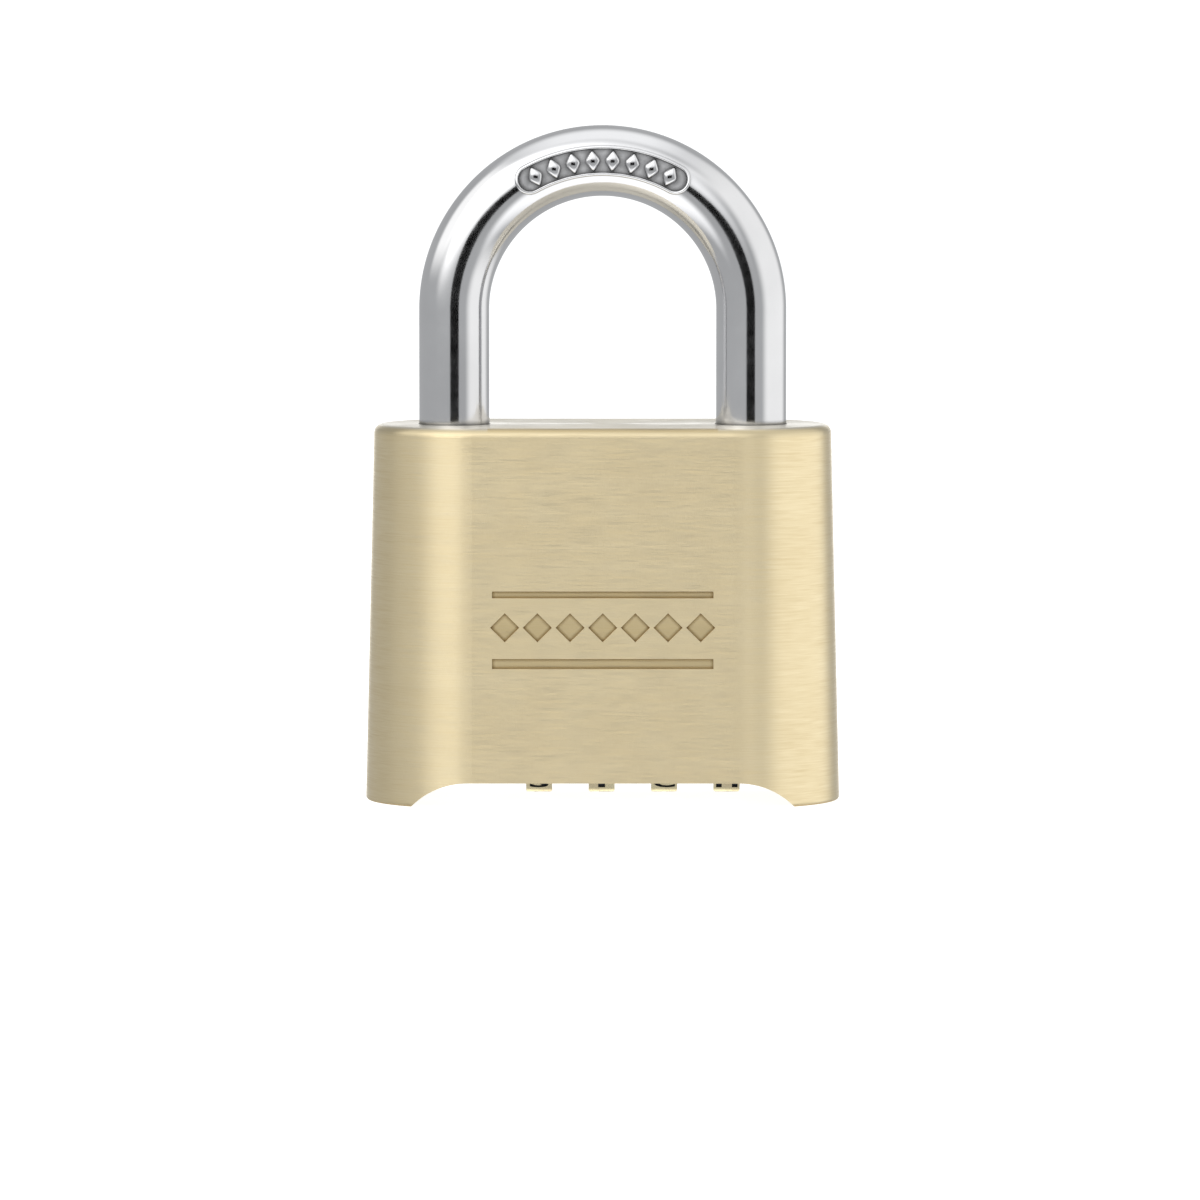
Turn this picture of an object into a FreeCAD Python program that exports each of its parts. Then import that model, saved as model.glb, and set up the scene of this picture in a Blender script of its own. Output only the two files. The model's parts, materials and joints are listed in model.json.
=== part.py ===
import FreeCAD, Part
import os
import Sketcher

# Combination padlock. Millimetres, origin at the bottom centre, +Z up, front face towards -Y.

DIMS = {
    # case: stadium plan, slightly wider at the feet
    "case_height": 41.9,
    "case_centre": 14.4,
    "case_r_low": 12.0,
    "case_r_high": 11.0,
    "case_round": 1.0,
    "foot_round": 0.4,
    "arch_height": 2.8,
    "arch_half": 14.9,
    "arch_r": 8.5,
    "margin": 3.0,
    # engraved ornament of the front face
    "line_half": 12.2,
    "line_depth": 0.35,
    "thin_z": 23.25,
    "thin_high": 0.75,
    "thick_z": 15.45,
    "thick_high": 1.1,
    "lozenge_z": 20.0,
    "lozenge_r": 1.6,
    "lozenge_step": 3.6,
    # hollow of the case
    "hollow_centre": 13.95,
    "hollow_r": 10.05,
    "hollow_top": 17.8,
    "leg_x": 16.5,
    "leg_r": 3.95,
    "leg_bore_r": 4.02,
    "toe_floor": 33.0,
    "bar_slot_half": 2.4,
    "bar_slot_top": 31.2,
    "bar_slot_end": 18.1,
    # shackle
    "bend_z": 54.65,
    "heel_end": 12.6,
    "toe_end": 33.3,
    "leg_bevel": 0.6,
    "neck_r": 2.6,
    "neck_low": 17.95,
    "neck_high": 20.45,
    "heel_hole_r": 2.45,
    "heel_hole_top": 17.2,
    "badge_r_in": 15.05,
    "badge_r_out": 18.1,
    "badge_angle": 58.0,
    "badge_floor": 3.45,
    "stud_r": 0.7,
    "stud_high": 0.3,
    "stud_step": 7.0,
    # carrier casting
    "block_r": 9.95,
    "block_low": 6.5,
    "block_top": 16.3,
    "plate_centre": 12.75,
    "plate_r": 9.2,
    "plate_low": 3.94,
    "plate_round": 0.8,
    "heel_block_x": 12.6,
    "heel_block_top": 12.4,
    "index_left": 11.3,
    "index_right": 18.66,
    "index_r": 4.52,
    "index_z": 6.92,
    "index_taper": 1.6,
    "index_root": 0.3,
    "ridge_half": 0.325,
    "ridge_z": 2.15,
    "channel_r": 4.7,
    "channel_left": 8.6,
    "channel_right": 17.35,
    "tail_right": 18.35,
    "nose_r": 2.55,
    "nose_left": 13.2,
    "slot_half": 1.58,
    "slot_r": 7.58,
    "rod_bore_r": 1.55,
    "rod_bore_left": 16.0,
    "rod_bore_right": 20.5,
    "spring_pocket_r": 2.55,
    "spring_pocket_low": 10.4,
    # dial wheels
    "wheel_z": 8.3,
    "wheel_first": -7.08,
    "wheel_pitch": 6.96,
    "wheel_r": 7.5,
    "wheel_half": 1.45,
    "wheel_bevel": 0.25,
    "wheel_free_r": 5.1,
    "wheel_tooth_r": 4.4,
    "wheel_tooth_from": 0.1,
    "wheel_gap_r": 0.65,
    "groove_r": 1.3,
    "groove_at": 8.35,
    # code cams
    "cam_left": 3.3,
    "cam_right": 3.62,
    "cam_bore_r": 1.55,
    "cam_tube_r": 1.95,
    "gear_from": 0.15,
    "gear_to": 1.25,
    "gear_r": 4.32,
    "gear_at": 4.38,
    "gear_tooth_r": 0.57,
    "cup_from": 1.6,
    "cup_floor": 2.1,
    "cup_to": 3.2,
    "cup_r_in": 3.25,
    "cup_r_out": 4.2,
    "gate_half": 1.0,
    # rod of the cams
    "rod_r": 1.5,
    "rod_left": 13.6,
    "rod_right": 20.4,
    "rod_groove_r": 1.3,
    "clip_play": 0.02,
    "clip_mouth": 1.5,
    "clip_r": 2.1,
    "clip_thick": 0.5,
    "clip_left": 10.9,
    "clip_right": 17.45,
    "wedge_sum": 28.5,
    "wedge_gap": 0.05,
    "wedge_x": 17.0,
    "wedge_long": 8.0,
    "rod_spring_left": 12.86,
    "rod_spring_long": 1.62,
    "rod_spring_r": 1.9,
    "rod_spring_wire": 0.3,
    "rod_spring_pitch": 1.08,
    # locking bar
    "fork_r": 3.9,
    "fork_slot_r": 2.65,
    "fork_low": 18.0,
    "fork_high": 20.4,
    "bar_left": 13.4,
    "bar_right": 18.0,
    "bar_half": 2.2,
    "blade_from": 3.3,
    "blade_to": 4.2,
    "blade_half": 0.8,
    "blade_low": 10.6,
    "lug_from": 2.35,
    "lug_high": 0.7,
    # lifting spring
    "lift_spring_r": 1.95,
    "lift_spring_wire": 0.32,
    "lift_spring_pitch": 0.86,
    "lift_spring_low": 10.72,
    "lift_spring_high": 16.88,
    # detent comb
    "comb_left": 9.2,
    "comb_right": 16.4,
    "comb_near": 5.3,
    "comb_far": 8.9,
    "comb_low": 16.02,
    "comb_high": 16.28,
    "comb_play": 0.3,
    "finger_half": 0.8,
    "finger_y": 6.3,
    "finger_thick": 0.3,
    "finger_tip_y": 6.13,
    "finger_tip_z": 12.75,
    "finger_tip_r": 0.48,
    # plunger under the toe
    "plunger_x": 19.55,
    "plunger_r": 0.9,
    "plunger_bore_r": 0.95,
    "plunger_floor": 6.5,
    "plunger_top": 32.9,
    "collar_r": 1.4,
    "collar_low": 14.8,
    "collar_high": 16.25,
    "collar_bore_r": 1.48,
    "collar_floor": 13.2,
    # cover plate, its screws and the dowels
    "cover_r": 9.7,
    "cover_left": 12.35,
    "cover_low": 16.35,
    "cover_high": 17.6,
    "cover_slot_from": 2.2,
    "cover_slot_to": 4.35,
    "cover_slot_half": 0.95,
    "screw_r": 0.75,
    "screw_hole_r": 0.8,
    "screw_head_r": 1.4,
    "screw_seat_r": 1.5,
    "screw_seat": 17.0,
    "screw_low": 11.5,
    "screw_left_x": 10.6,
    "screw_left_y": 7.3,
    "screw_right_x": 20.9,
    "screw_right_y": 3.9,
    "driver_slot": 0.4,
    "dowel_x": 20.0,
    "dowel_z": 10.0,
    "dowel_r": 1.0,
    "dowel_near": 4.0,
    # seal ring
    "seal_r_in": 9.28,
    "seal_centre_in": 12.8,
    "seal_r_out": 10.0,
    "seal_low": 4.7,
    "seal_round": 0.35,
}

WHEELS = 4
PLACES = 10
LOZENGES = 7
STUDS = 8
MIDDLE = (STUDS - 1) / 2
HALF_ROW = (LOZENGES - 1) / 2

NODES = [
    "lock_body",
    "shackle",
    "dial_plate",
    "plate_gasket",
    "spindle",
    "spindle_clips",
    "spindle_spring",
    "locking_bar",
    "shackle_spring",
    "detent_comb",
    "change_plunger",
    "carrier_cap",
    "cap_screws",
    "retaining_pins",
]
NODES += [f"dial_ring_{i + 1}" for i in range(WHEELS)]
NODES += [f"dial_sleeve_{i + 1}" for i in range(WHEELS)]

ALONG_X = FreeCAD.Rotation(FreeCAD.Vector(0, 1, 0), 90)
ALONG_Y = FreeCAD.Rotation(FreeCAD.Vector(1, 0, 0), -90)
UPRIGHT = FreeCAD.Rotation(FreeCAD.Vector(1, 0, 0), 90)
LEVEL = FreeCAD.Rotation()

os.makedirs("parts", exist_ok=True)
doc = FreeCAD.newDocument("combination_padlock")
sheet = doc.addObject("Spreadsheet::Sheet", "d")
for row, (alias, size) in enumerate(DIMS.items(), start=1):
    sheet.set(f"A{row}", alias)
    sheet.set(f"B{row}", str(size))
    sheet.setAlias(f"B{row}", alias)
doc.recompute()


def drive(obj, **formulas):
    """Tie properties of an object to the sheet."""
    for name, formula in formulas.items():
        obj.setExpression(name, formula)
    return obj


def place(obj, at, turn=LEVEL):
    """Set the rotation of an object and tie its position to the sheet."""
    obj.Placement = FreeCAD.Placement(FreeCAD.Vector(), turn)
    for axis, formula in zip("xyz", at):
        obj.setExpression(f"Placement.Base.{axis}", formula)
    return obj


def box(name, size, at):
    obj = doc.addObject("Part::Box", name)
    drive(obj, Length=size[0], Width=size[1], Height=size[2])
    return place(obj, at)


def rod(name, radius, length, at, turn=LEVEL):
    obj = doc.addObject("Part::Cylinder", name)
    drive(obj, Radius=radius, Height=length)
    return place(obj, at, turn)


def cone(name, radius_1, radius_2, length, at, turn=LEVEL):
    obj = doc.addObject("Part::Cone", name)
    drive(obj, Radius1=radius_1, Radius2=radius_2, Height=length)
    return place(obj, at, turn)


def fuse(name, shapes):
    obj = doc.addObject("Part::MultiFuse", name)
    obj.Shapes = shapes
    obj.Refine = True
    return obj


def cut(name, base, tools):
    tool = tools[0]
    if len(tools) > 1:
        tool = doc.addObject("Part::MultiFuse", f"{name}_tools")
        tool.Shapes = tools
    obj = doc.addObject("Part::Cut", name)
    obj.Base = base
    obj.Tool = tool
    obj.Refine = True
    return obj


def stadium(name, centre, radius, low, high):
    """Straight-sided slot shape between two heights, its round ends centred at +-centre."""
    height = f"{high} - ({low})"
    left = rod(f"{name}_left", radius, height, (f"-({centre})", "0", low))
    right = rod(f"{name}_right", radius, height, (centre, "0", low))
    middle = box(
        f"{name}_middle",
        (f"2 * ({centre})", f"2 * ({radius})", height),
        (f"-({centre})", f"-({radius})", low),
    )
    return fuse(name, [left, middle, right])


def round_edges(name, base, radius, chosen):
    """Round the edges of a shape that the test picks."""
    doc.recompute()
    obj = doc.addObject("Part::Fillet", name)
    obj.Base = base
    size = sheet.get(radius)
    edges = enumerate(base.Shape.Edges, start=1)
    obj.Edges = [(number, size, size) for number, edge in edges if chosen(edge)]
    return obj


def level_at(height):
    """Test for edges that lie in one level plane."""

    def test(edge):
        box_z = edge.BoundBox
        return abs(box_z.ZMin - height) < 1e-4 and abs(box_z.ZMax - height) < 1e-4

    return test


def wheel_x(index):
    return f"d.wheel_first + {index} * d.wheel_pitch"


# ---- case ----
def flared_case(name):
    ends = []
    for side, x in (("left", "-d.case_centre"), ("right", "d.case_centre")):
        ends.append(
            cone(f"{name}_{side}", "d.case_r_low", "d.case_r_high", "d.case_height", (x, "0", "0"))
        )
    middle = doc.addObject("Part::Wedge", f"{name}_middle")
    drive(
        middle,
        Xmin="-d.case_centre",
        X2min="-d.case_centre",
        Xmax="d.case_centre",
        X2max="d.case_centre",
        Ymin="0",
        Ymax="d.case_height",
        Zmin="-d.case_r_low",
        Zmax="d.case_r_low",
        Z2min="-d.case_r_high",
        Z2max="d.case_r_high",
    )
    place(middle, ("0", "0", "0"), UPRIGHT)
    return fuse(name, [ends[0], middle, ends[1]])


blank = flared_case("case_blank")
case_top = round_edges("case_top", blank, "case_round", level_at(sheet.get("case_height")))
case_shell = round_edges("case_shell", case_top, "foot_round", level_at(0.0))

case_tools = [
    box(
        "arch_flat",
        ("2 * d.arch_half", "2 * d.case_r_low + 2 * d.margin", "d.arch_height + d.margin"),
        ("-d.arch_half", "-d.case_r_low - d.margin", "-d.margin"),
    ),
    stadium("hollow", "d.hollow_centre", "d.hollow_r", "-d.margin", "d.hollow_top"),
    rod(
        "heel_bore",
        "d.leg_bore_r",
        "d.case_height + d.margin - d.arch_height - d.margin",
        ("-d.leg_x", "0", "d.arch_height + d.margin"),
    ),
    rod(
        "toe_bore",
        "d.leg_bore_r",
        "d.case_height + d.margin - d.toe_floor",
        ("d.leg_x", "0", "d.toe_floor"),
    ),
    rod(
        "plunger_bore",
        "d.plunger_bore_r",
        "d.toe_floor - d.hollow_top + d.margin",
        ("d.plunger_x", "0", "d.hollow_top - d.margin / 2"),
    ),
    box(
        "bar_slot",
        (
            "d.leg_x + d.bar_slot_end",
            "2 * d.bar_slot_half",
            "d.bar_slot_top - d.hollow_top + d.margin",
        ),
        ("-d.leg_x", "-d.bar_slot_half", "d.hollow_top - d.margin"),
    ),
    box(
        "thin_line",
        ("2 * d.line_half", "d.margin", "d.thin_high"),
        (
            "-d.line_half",
            "-d.case_r_low + (d.case_r_low - d.case_r_high) * d.thin_z / d.case_height"
            " + d.line_depth - d.margin",
            "d.thin_z",
        ),
    ),
    box(
        "thick_line",
        ("2 * d.line_half", "d.margin", "d.thick_high"),
        (
            "-d.line_half",
            "-d.case_r_low + (d.case_r_low - d.case_r_high) * d.thick_z / d.case_height"
            " + d.line_depth - d.margin",
            "d.thick_z",
        ),
    ),
]
for side, x in (("left", "-d.arch_half"), ("right", "d.arch_half")):
    case_tools.append(
        rod(
            f"arch_{side}",
            "d.arch_r",
            "2 * d.case_r_low + 2 * d.margin",
            (x, "-d.case_r_low - d.margin", "d.arch_height - d.arch_r"),
            ALONG_Y,
        )
    )
for side, x in (("left", "-d.dowel_x"), ("right", "d.dowel_x")):
    case_tools.append(
        rod(
            f"dowel_hole_{side}",
            "d.dowel_r",
            "2 * d.margin + d.case_r_low",
            (x, "0", "d.dowel_z"),
            ALONG_Y,
        )
    )
for place_no in range(LOZENGES):
    lozenge = doc.addObject("Part::Prism", f"lozenge_{place_no + 1}")
    lozenge.Polygon = 4
    drive(lozenge, Circumradius="d.lozenge_r", Height="d.margin")
    place(
        lozenge,
        (
            f"{place_no - HALF_ROW} * d.lozenge_step",
            "-d.case_r_low + (d.case_r_low - d.case_r_high) * d.lozenge_z / d.case_height"
            " + d.line_depth - d.margin",
            "d.lozenge_z",
        ),
        ALONG_Y,
    )
    case_tools.append(lozenge)
cut("lock_body", case_shell, case_tools)


# ---- shackle ----
bend = doc.addObject("Part::Torus", "bend")
bend.Angle3 = 180
drive(bend, Radius1="d.leg_x", Radius2="d.leg_r")
place(bend, ("0", "0", "d.bend_z"), UPRIGHT)
shackle_rod = fuse(
    "shackle_rod",
    [
        bend,
        rod(
            "heel_upper",
            "d.leg_r",
            "d.bend_z - d.neck_high",
            ("-d.leg_x", "0", "d.neck_high"),
        ),
        rod(
            "heel_neck",
            "d.neck_r",
            "d.neck_high - d.neck_low + d.margin",
            ("-d.leg_x", "0", "d.neck_low - d.margin / 2"),
        ),
        rod(
            "heel_head",
            "d.leg_r",
            "d.neck_low - d.heel_end - d.leg_bevel",
            ("-d.leg_x", "0", "d.heel_end + d.leg_bevel"),
        ),
        cone(
            "heel_tip",
            "d.leg_r - d.leg_bevel",
            "d.leg_r",
            "d.leg_bevel",
            ("-d.leg_x", "0", "d.heel_end"),
        ),
        rod(
            "toe_leg",
            "d.leg_r",
            "d.bend_z - d.toe_end - d.leg_bevel",
            ("d.leg_x", "0", "d.toe_end + d.leg_bevel"),
        ),
        cone(
            "toe_tip",
            "d.leg_r - d.leg_bevel",
            "d.leg_r",
            "d.leg_bevel",
            ("d.leg_x", "0", "d.toe_end"),
        ),
    ],
)


def crown_sector(name, radius):
    """Sector of a disc around the axis of the bend, standing in front of the badge floor."""
    obj = rod(name, radius, "d.margin", ("0", "-d.badge_floor", "d.bend_z"))
    obj.setExpression("Angle", "d.badge_angle")
    start = FreeCAD.Rotation(FreeCAD.Vector(0, 0, 1), 90 - sheet.get("badge_angle") / 2)
    obj.Placement = FreeCAD.Placement(FreeCAD.Vector(), UPRIGHT.multiply(start))
    return obj


badge_tools = [
    cut(
        "badge_band",
        crown_sector("badge_outer", "d.badge_r_out"),
        [crown_sector("badge_inner", "d.badge_r_in")],
    )
]
for side, sign in (("left", "-"), ("right", "")):
    badge_tools.append(
        rod(
            f"badge_end_{side}",
            "(d.badge_r_out - d.badge_r_in) / 2",
            "d.margin",
            (
                f"{sign}(d.badge_r_out + d.badge_r_in) / 2 * sin(d.badge_angle / 2 * 1 deg)",
                "-d.badge_floor",
                "d.bend_z + (d.badge_r_out + d.badge_r_in) / 2 * cos(d.badge_angle / 2 * 1 deg)",
            ),
            UPRIGHT,
        )
    )
heel_hole = rod(
    "heel_hole",
    "d.heel_hole_r",
    "d.heel_hole_top - d.heel_end + d.margin",
    ("-d.leg_x", "0", "d.heel_end - d.margin"),
)
shackle_core = cut("shackle_core", shackle_rod, badge_tools + [heel_hole])
studs = []
for stud_no in range(STUDS):
    swing = f"{stud_no - MIDDLE} * d.stud_step * 1 deg"
    studs.append(
        rod(
            f"stud_{stud_no + 1}",
            "d.stud_r",
            "2 * d.stud_high",
            (
                f"(d.badge_r_out + d.badge_r_in) / 2 * sin({swing})",
                "-d.badge_floor + d.stud_high",
                f"d.bend_z + (d.badge_r_out + d.badge_r_in) / 2 * cos({swing})",
            ),
            UPRIGHT,
        )
    )
fuse("shackle", [shackle_core] + studs)


# ---- carrier casting ----
plate_blank = stadium("plate_blank", "d.plate_centre", "d.plate_r", "d.plate_low", "d.block_low + d.margin")
plate_edge = round_edges("plate_edge", plate_blank, "plate_round", level_at(sheet.get("plate_low")))
index_blank = fuse(
    "index_blank",
    [
        rod(
            "index_bar",
            "d.index_r",
            "d.index_left + d.index_right",
            ("-d.index_left", "0", "d.index_z"),
            ALONG_X,
        ),
        box(
            "index_ridge",
            ("d.index_left + d.index_right", "2 * d.ridge_half", "d.margin"),
            ("-d.index_left", "-d.ridge_half", "d.ridge_z"),
        ),
    ],
)
index_ends = doc.addObject("Part::Wedge", "index_ends")
drive(
    index_ends,
    Xmin="-d.index_left + d.index_taper",
    X2min="-d.index_left",
    Xmax="d.index_right - d.index_taper",
    X2max="d.index_right",
    Ymin="d.ridge_z",
    Ymax="d.plate_low + d.index_root",
    Zmin="-d.index_r",
    Zmax="d.index_r",
    Z2min="-d.index_r",
    Z2max="d.index_r",
)
place(index_ends, ("0", "0", "0"), UPRIGHT)
index_hip = doc.addObject("Part::Common", "index_hip")
index_hip.Base = index_blank
index_hip.Tool = index_ends
carrier_blank = fuse(
    "carrier_blank",
    [
        plate_edge,
        stadium("block_blank", "d.hollow_centre", "d.block_r", "d.block_low", "d.block_top"),
        index_hip,
    ],
)


def trough(name, radius, left, right):
    """Round-bottomed trough around the wheel axis, open to the top of the block."""
    floor = rod(f"{name}_floor", radius, f"{right} - ({left})", (left, "0", "d.wheel_z"), ALONG_X)
    walls = box(
        f"{name}_walls",
        (f"{right} - ({left})", f"2 * {radius}", "d.block_top - d.wheel_z + d.margin"),
        (left, f"-{radius}", "d.wheel_z"),
    )
    return [floor, walls]


carrier_tools = [
    box(
        "heel_clearance",
        ("d.hollow_r + d.margin + d.hollow_centre", "2 * d.block_r + 2 * d.margin", "2 * d.margin"),
        (
            "-d.heel_block_x - d.hollow_r - d.margin - d.hollow_centre",
            "-d.block_r - d.margin",
            "d.heel_block_top",
        ),
    ),
    rod(
        "rod_bore",
        "d.rod_bore_r",
        "d.rod_bore_left + d.rod_bore_right",
        ("-d.rod_bore_left", "0", "d.wheel_z"),
        ALONG_X,
    ),
    rod(
        "spring_pocket",
        "d.spring_pocket_r",
        "2 * d.margin",
        ("-d.leg_x", "0", "d.spring_pocket_low"),
    ),
    rod(
        "plunger_well",
        "d.plunger_bore_r",
        "d.block_top - d.plunger_floor + d.margin",
        ("d.plunger_x", "0", "d.plunger_floor"),
    ),
    rod(
        "collar_well",
        "d.collar_bore_r",
        "d.block_top - d.collar_floor + d.margin",
        ("d.plunger_x", "0", "d.collar_floor"),
    ),
    box(
        "comb_seat",
        (
            "d.comb_left + d.comb_right + 2 * d.comb_play",
            "d.comb_far - d.comb_near + 2 * d.comb_play",
            "d.margin",
        ),
        ("-d.comb_left - d.comb_play", "d.comb_near - d.comb_play", "d.comb_low - 0.02"),
    ),
    rod(
        "screw_hole_left",
        "d.screw_hole_r",
        "2 * d.margin",
        ("-d.screw_left_x", "-d.screw_left_y", "d.screw_low - 0.3"),
    ),
    rod(
        "screw_hole_right",
        "d.screw_hole_r",
        "2 * d.margin",
        ("d.screw_right_x", "-d.screw_right_y", "d.screw_low - 0.3"),
    ),
]
carrier_tools += trough("channel", "d.channel_r", "-d.channel_left", "d.channel_right")
carrier_tools += trough("nose", "d.nose_r", "-d.nose_left", "-d.channel_left + 1")
carrier_tools += trough("tail", "d.nose_r", "d.channel_right - 1", "d.tail_right")
for index in range(WHEELS):
    carrier_tools += trough(
        f"ring_slot_{index + 1}",
        "d.slot_r",
        f"{wheel_x(index)} - d.slot_half",
        f"{wheel_x(index)} + d.slot_half",
    )
for side, x in (("left", "-d.dowel_x"), ("right", "d.dowel_x")):
    carrier_tools.append(
        rod(
            f"dowel_seat_{side}",
            "d.dowel_r",
            "d.case_r_low",
            (x, "d.dowel_near", "d.dowel_z"),
            ALONG_Y,
        )
    )
cut("dial_plate", carrier_blank, carrier_tools)


# ---- seal ring ----
seal_blank = stadium("seal_blank", "d.hollow_centre", "d.seal_r_out", "d.seal_low", "d.block_low")
seal_edge = round_edges("seal_edge", seal_blank, "seal_round", level_at(sheet.get("seal_low")))
seal_hole = stadium(
    "seal_hole", "d.seal_centre_in", "d.seal_r_in", "d.seal_low - d.margin", "d.block_low + d.margin"
)
cut("plate_gasket", seal_edge, [seal_hole])


# ---- dial wheels and code cams ----
def plane(body, role):
    for feature in body.Origin.OriginFeatures:
        if feature.Role == role:
            return feature


def turned(body, corners):
    """Revolve a closed profile of (along axis, radius) corners around the X axis."""
    sketch = body.newObject("Sketcher::SketchObject", f"{body.Name}_profile")
    sketch.AttachmentSupport = [(plane(body, "XY_Plane"), "")]
    sketch.MapMode = "FlatFace"
    points = [
        FreeCAD.Vector(float(sketch.evalExpression(u)), float(sketch.evalExpression(r)), 0)
        for u, r in corners
    ]
    for number, start in enumerate(points):
        sketch.addGeometry(Part.LineSegment(start, points[(number + 1) % len(points)]))
    for number in range(len(points)):
        following = (number + 1) % len(points)
        sketch.addConstraint(Sketcher.Constraint("Coincident", number, 2, following, 1))
    for number, (u, r) in enumerate(corners):
        for kind, formula, value in (
            ("DistanceX", u, points[number].x),
            ("DistanceY", r, points[number].y),
        ):
            held = sketch.addConstraint(Sketcher.Constraint(kind, -1, 1, number, 1, value))
            sketch.setExpression(f"Constraints[{held}]", formula)
    revolve = body.newObject("PartDesign::Revolution", f"{body.Name}_turned")
    revolve.Profile = sketch
    revolve.ReferenceAxis = (sketch, ["H_Axis"])
    revolve.Angle = 360
    sketch.Visibility = False
    return revolve


def ring_of(body, name, kind, radius, at, angle, start, length, count):
    """Pattern a round tooth or groove around the X axis of a turned part."""
    sketch = body.newObject("Sketcher::SketchObject", f"{name}_sketch")
    sketch.AttachmentSupport = [(plane(body, "YZ_Plane"), "")]
    sketch.MapMode = "FlatFace"
    sketch.setExpression("AttachmentOffset.Base.z", start)
    centre = FreeCAD.Rotation(FreeCAD.Vector(0, 0, 1), angle).multVec(
        FreeCAD.Vector(float(sketch.evalExpression(at)), 0, 0)
    )
    size = float(sketch.evalExpression(radius))
    circle = Part.Circle(centre, FreeCAD.Vector(0, 0, 1), size)
    sketch.addGeometry(circle)
    held = sketch.addConstraint(Sketcher.Constraint("Radius", 0, size))
    sketch.setExpression(f"Constraints[{held}]", radius)
    for direction, value, trig in (("DistanceX", centre.x, "cos"), ("DistanceY", centre.y, "sin")):
        held = sketch.addConstraint(Sketcher.Constraint(direction, -1, 1, 0, 3, value))
        sketch.setExpression(f"Constraints[{held}]", f"({at}) * {trig}({angle} deg)")
    feature = body.newObject(f"PartDesign::{kind}", name)
    feature.Profile = sketch
    feature.setExpression("Length", length)
    sketch.Visibility = False
    body.Tip = feature
    pattern = body.newObject("PartDesign::PolarPattern", f"{name}_pattern")
    pattern.Originals = [feature]
    pattern.Axis = (plane(body, "X_Axis"), [""])
    pattern.Angle = 360
    pattern.Occurrences = count
    body.Tip = pattern
    return feature


for index in range(WHEELS):
    ring = doc.addObject("PartDesign::Body", f"dial_ring_{index + 1}")
    place(ring, (wheel_x(index), "0", "d.wheel_z"))
    turned(
        ring,
        [
            ("-d.wheel_half", "d.wheel_free_r"),
            ("d.wheel_tooth_from", "d.wheel_free_r"),
            ("d.wheel_tooth_from", "d.wheel_tooth_r"),
            ("d.wheel_half", "d.wheel_tooth_r"),
            ("d.wheel_half", "d.wheel_r - d.wheel_bevel"),
            ("d.wheel_half - d.wheel_bevel", "d.wheel_r"),
            ("-d.wheel_half + d.wheel_bevel", "d.wheel_r"),
            ("-d.wheel_half", "d.wheel_r - d.wheel_bevel"),
        ],
    )
    ring_of(
        ring,
        f"ring_{index + 1}_grooves",
        "Pocket",
        "d.groove_r",
        "d.groove_at",
        36,
        "d.wheel_half",
        "2 * d.wheel_half",
        PLACES,
    )
    ring_of(
        ring,
        f"ring_{index + 1}_splines",
        "Pocket",
        "d.wheel_gap_r",
        "d.wheel_tooth_r",
        18,
        "d.wheel_half",
        "d.wheel_half - d.wheel_tooth_from",
        PLACES,
    )

    cam = doc.addObject("PartDesign::Body", f"dial_sleeve_{index + 1}")
    place(cam, (wheel_x(index), "0", "d.wheel_z"))
    turned(
        cam,
        [
            ("-d.cam_left", "d.cam_bore_r"),
            ("-d.cam_left", "d.cam_tube_r"),
            ("d.gear_from", "d.cam_tube_r"),
            ("d.gear_from", "d.gear_r"),
            ("d.gear_to", "d.gear_r"),
            ("d.gear_to", "d.cam_tube_r"),
            ("d.cup_from", "d.cam_tube_r"),
            ("d.cup_from", "d.cup_r_out"),
            ("d.cup_to", "d.cup_r_out"),
            ("d.cup_to", "d.cup_r_in"),
            ("d.cup_floor", "d.cup_r_in"),
            ("d.cup_floor", "d.cam_tube_r"),
            ("d.cam_right", "d.cam_tube_r"),
            ("d.cam_right", "d.cam_bore_r"),
        ],
    )
    ring_of(
        cam,
        f"cam_{index + 1}_splines",
        "Pad",
        "d.gear_tooth_r",
        "d.gear_at",
        18,
        "d.gear_from",
        "d.gear_to - d.gear_from",
        PLACES,
    )
    gate = cam.newObject("PartDesign::SubtractiveBox", f"cam_{index + 1}_gate")
    drive(
        gate,
        Length="d.cup_to - d.cup_floor + d.margin",
        Width="2 * d.gate_half",
        Height="d.cup_r_out",
    )
    for axis, formula in (("x", "d.cup_floor"), ("y", "-d.gate_half"), ("z", "d.cup_r_in - 0.25")):
        gate.setExpression(f"Placement.Base.{axis}", formula)
    cam.Tip = gate


# ---- rod of the cams, its clips and its spring ----
WEDGE = FreeCAD.Rotation(FreeCAD.Vector(0, 1, 0), 45)
BACK_WEDGE = FreeCAD.Rotation(FreeCAD.Vector(0, 1, 0), 225)


def slope(name, x, total, turn):
    """Half space on one side of the plane where x + z has a fixed total."""
    block = box(name, ("d.wedge_long", "2 * d.margin", "d.wedge_long"), ("0", "0", "0"))
    return place(block, (x, "-d.margin", f"{total} - ({x})"), turn)


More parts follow.
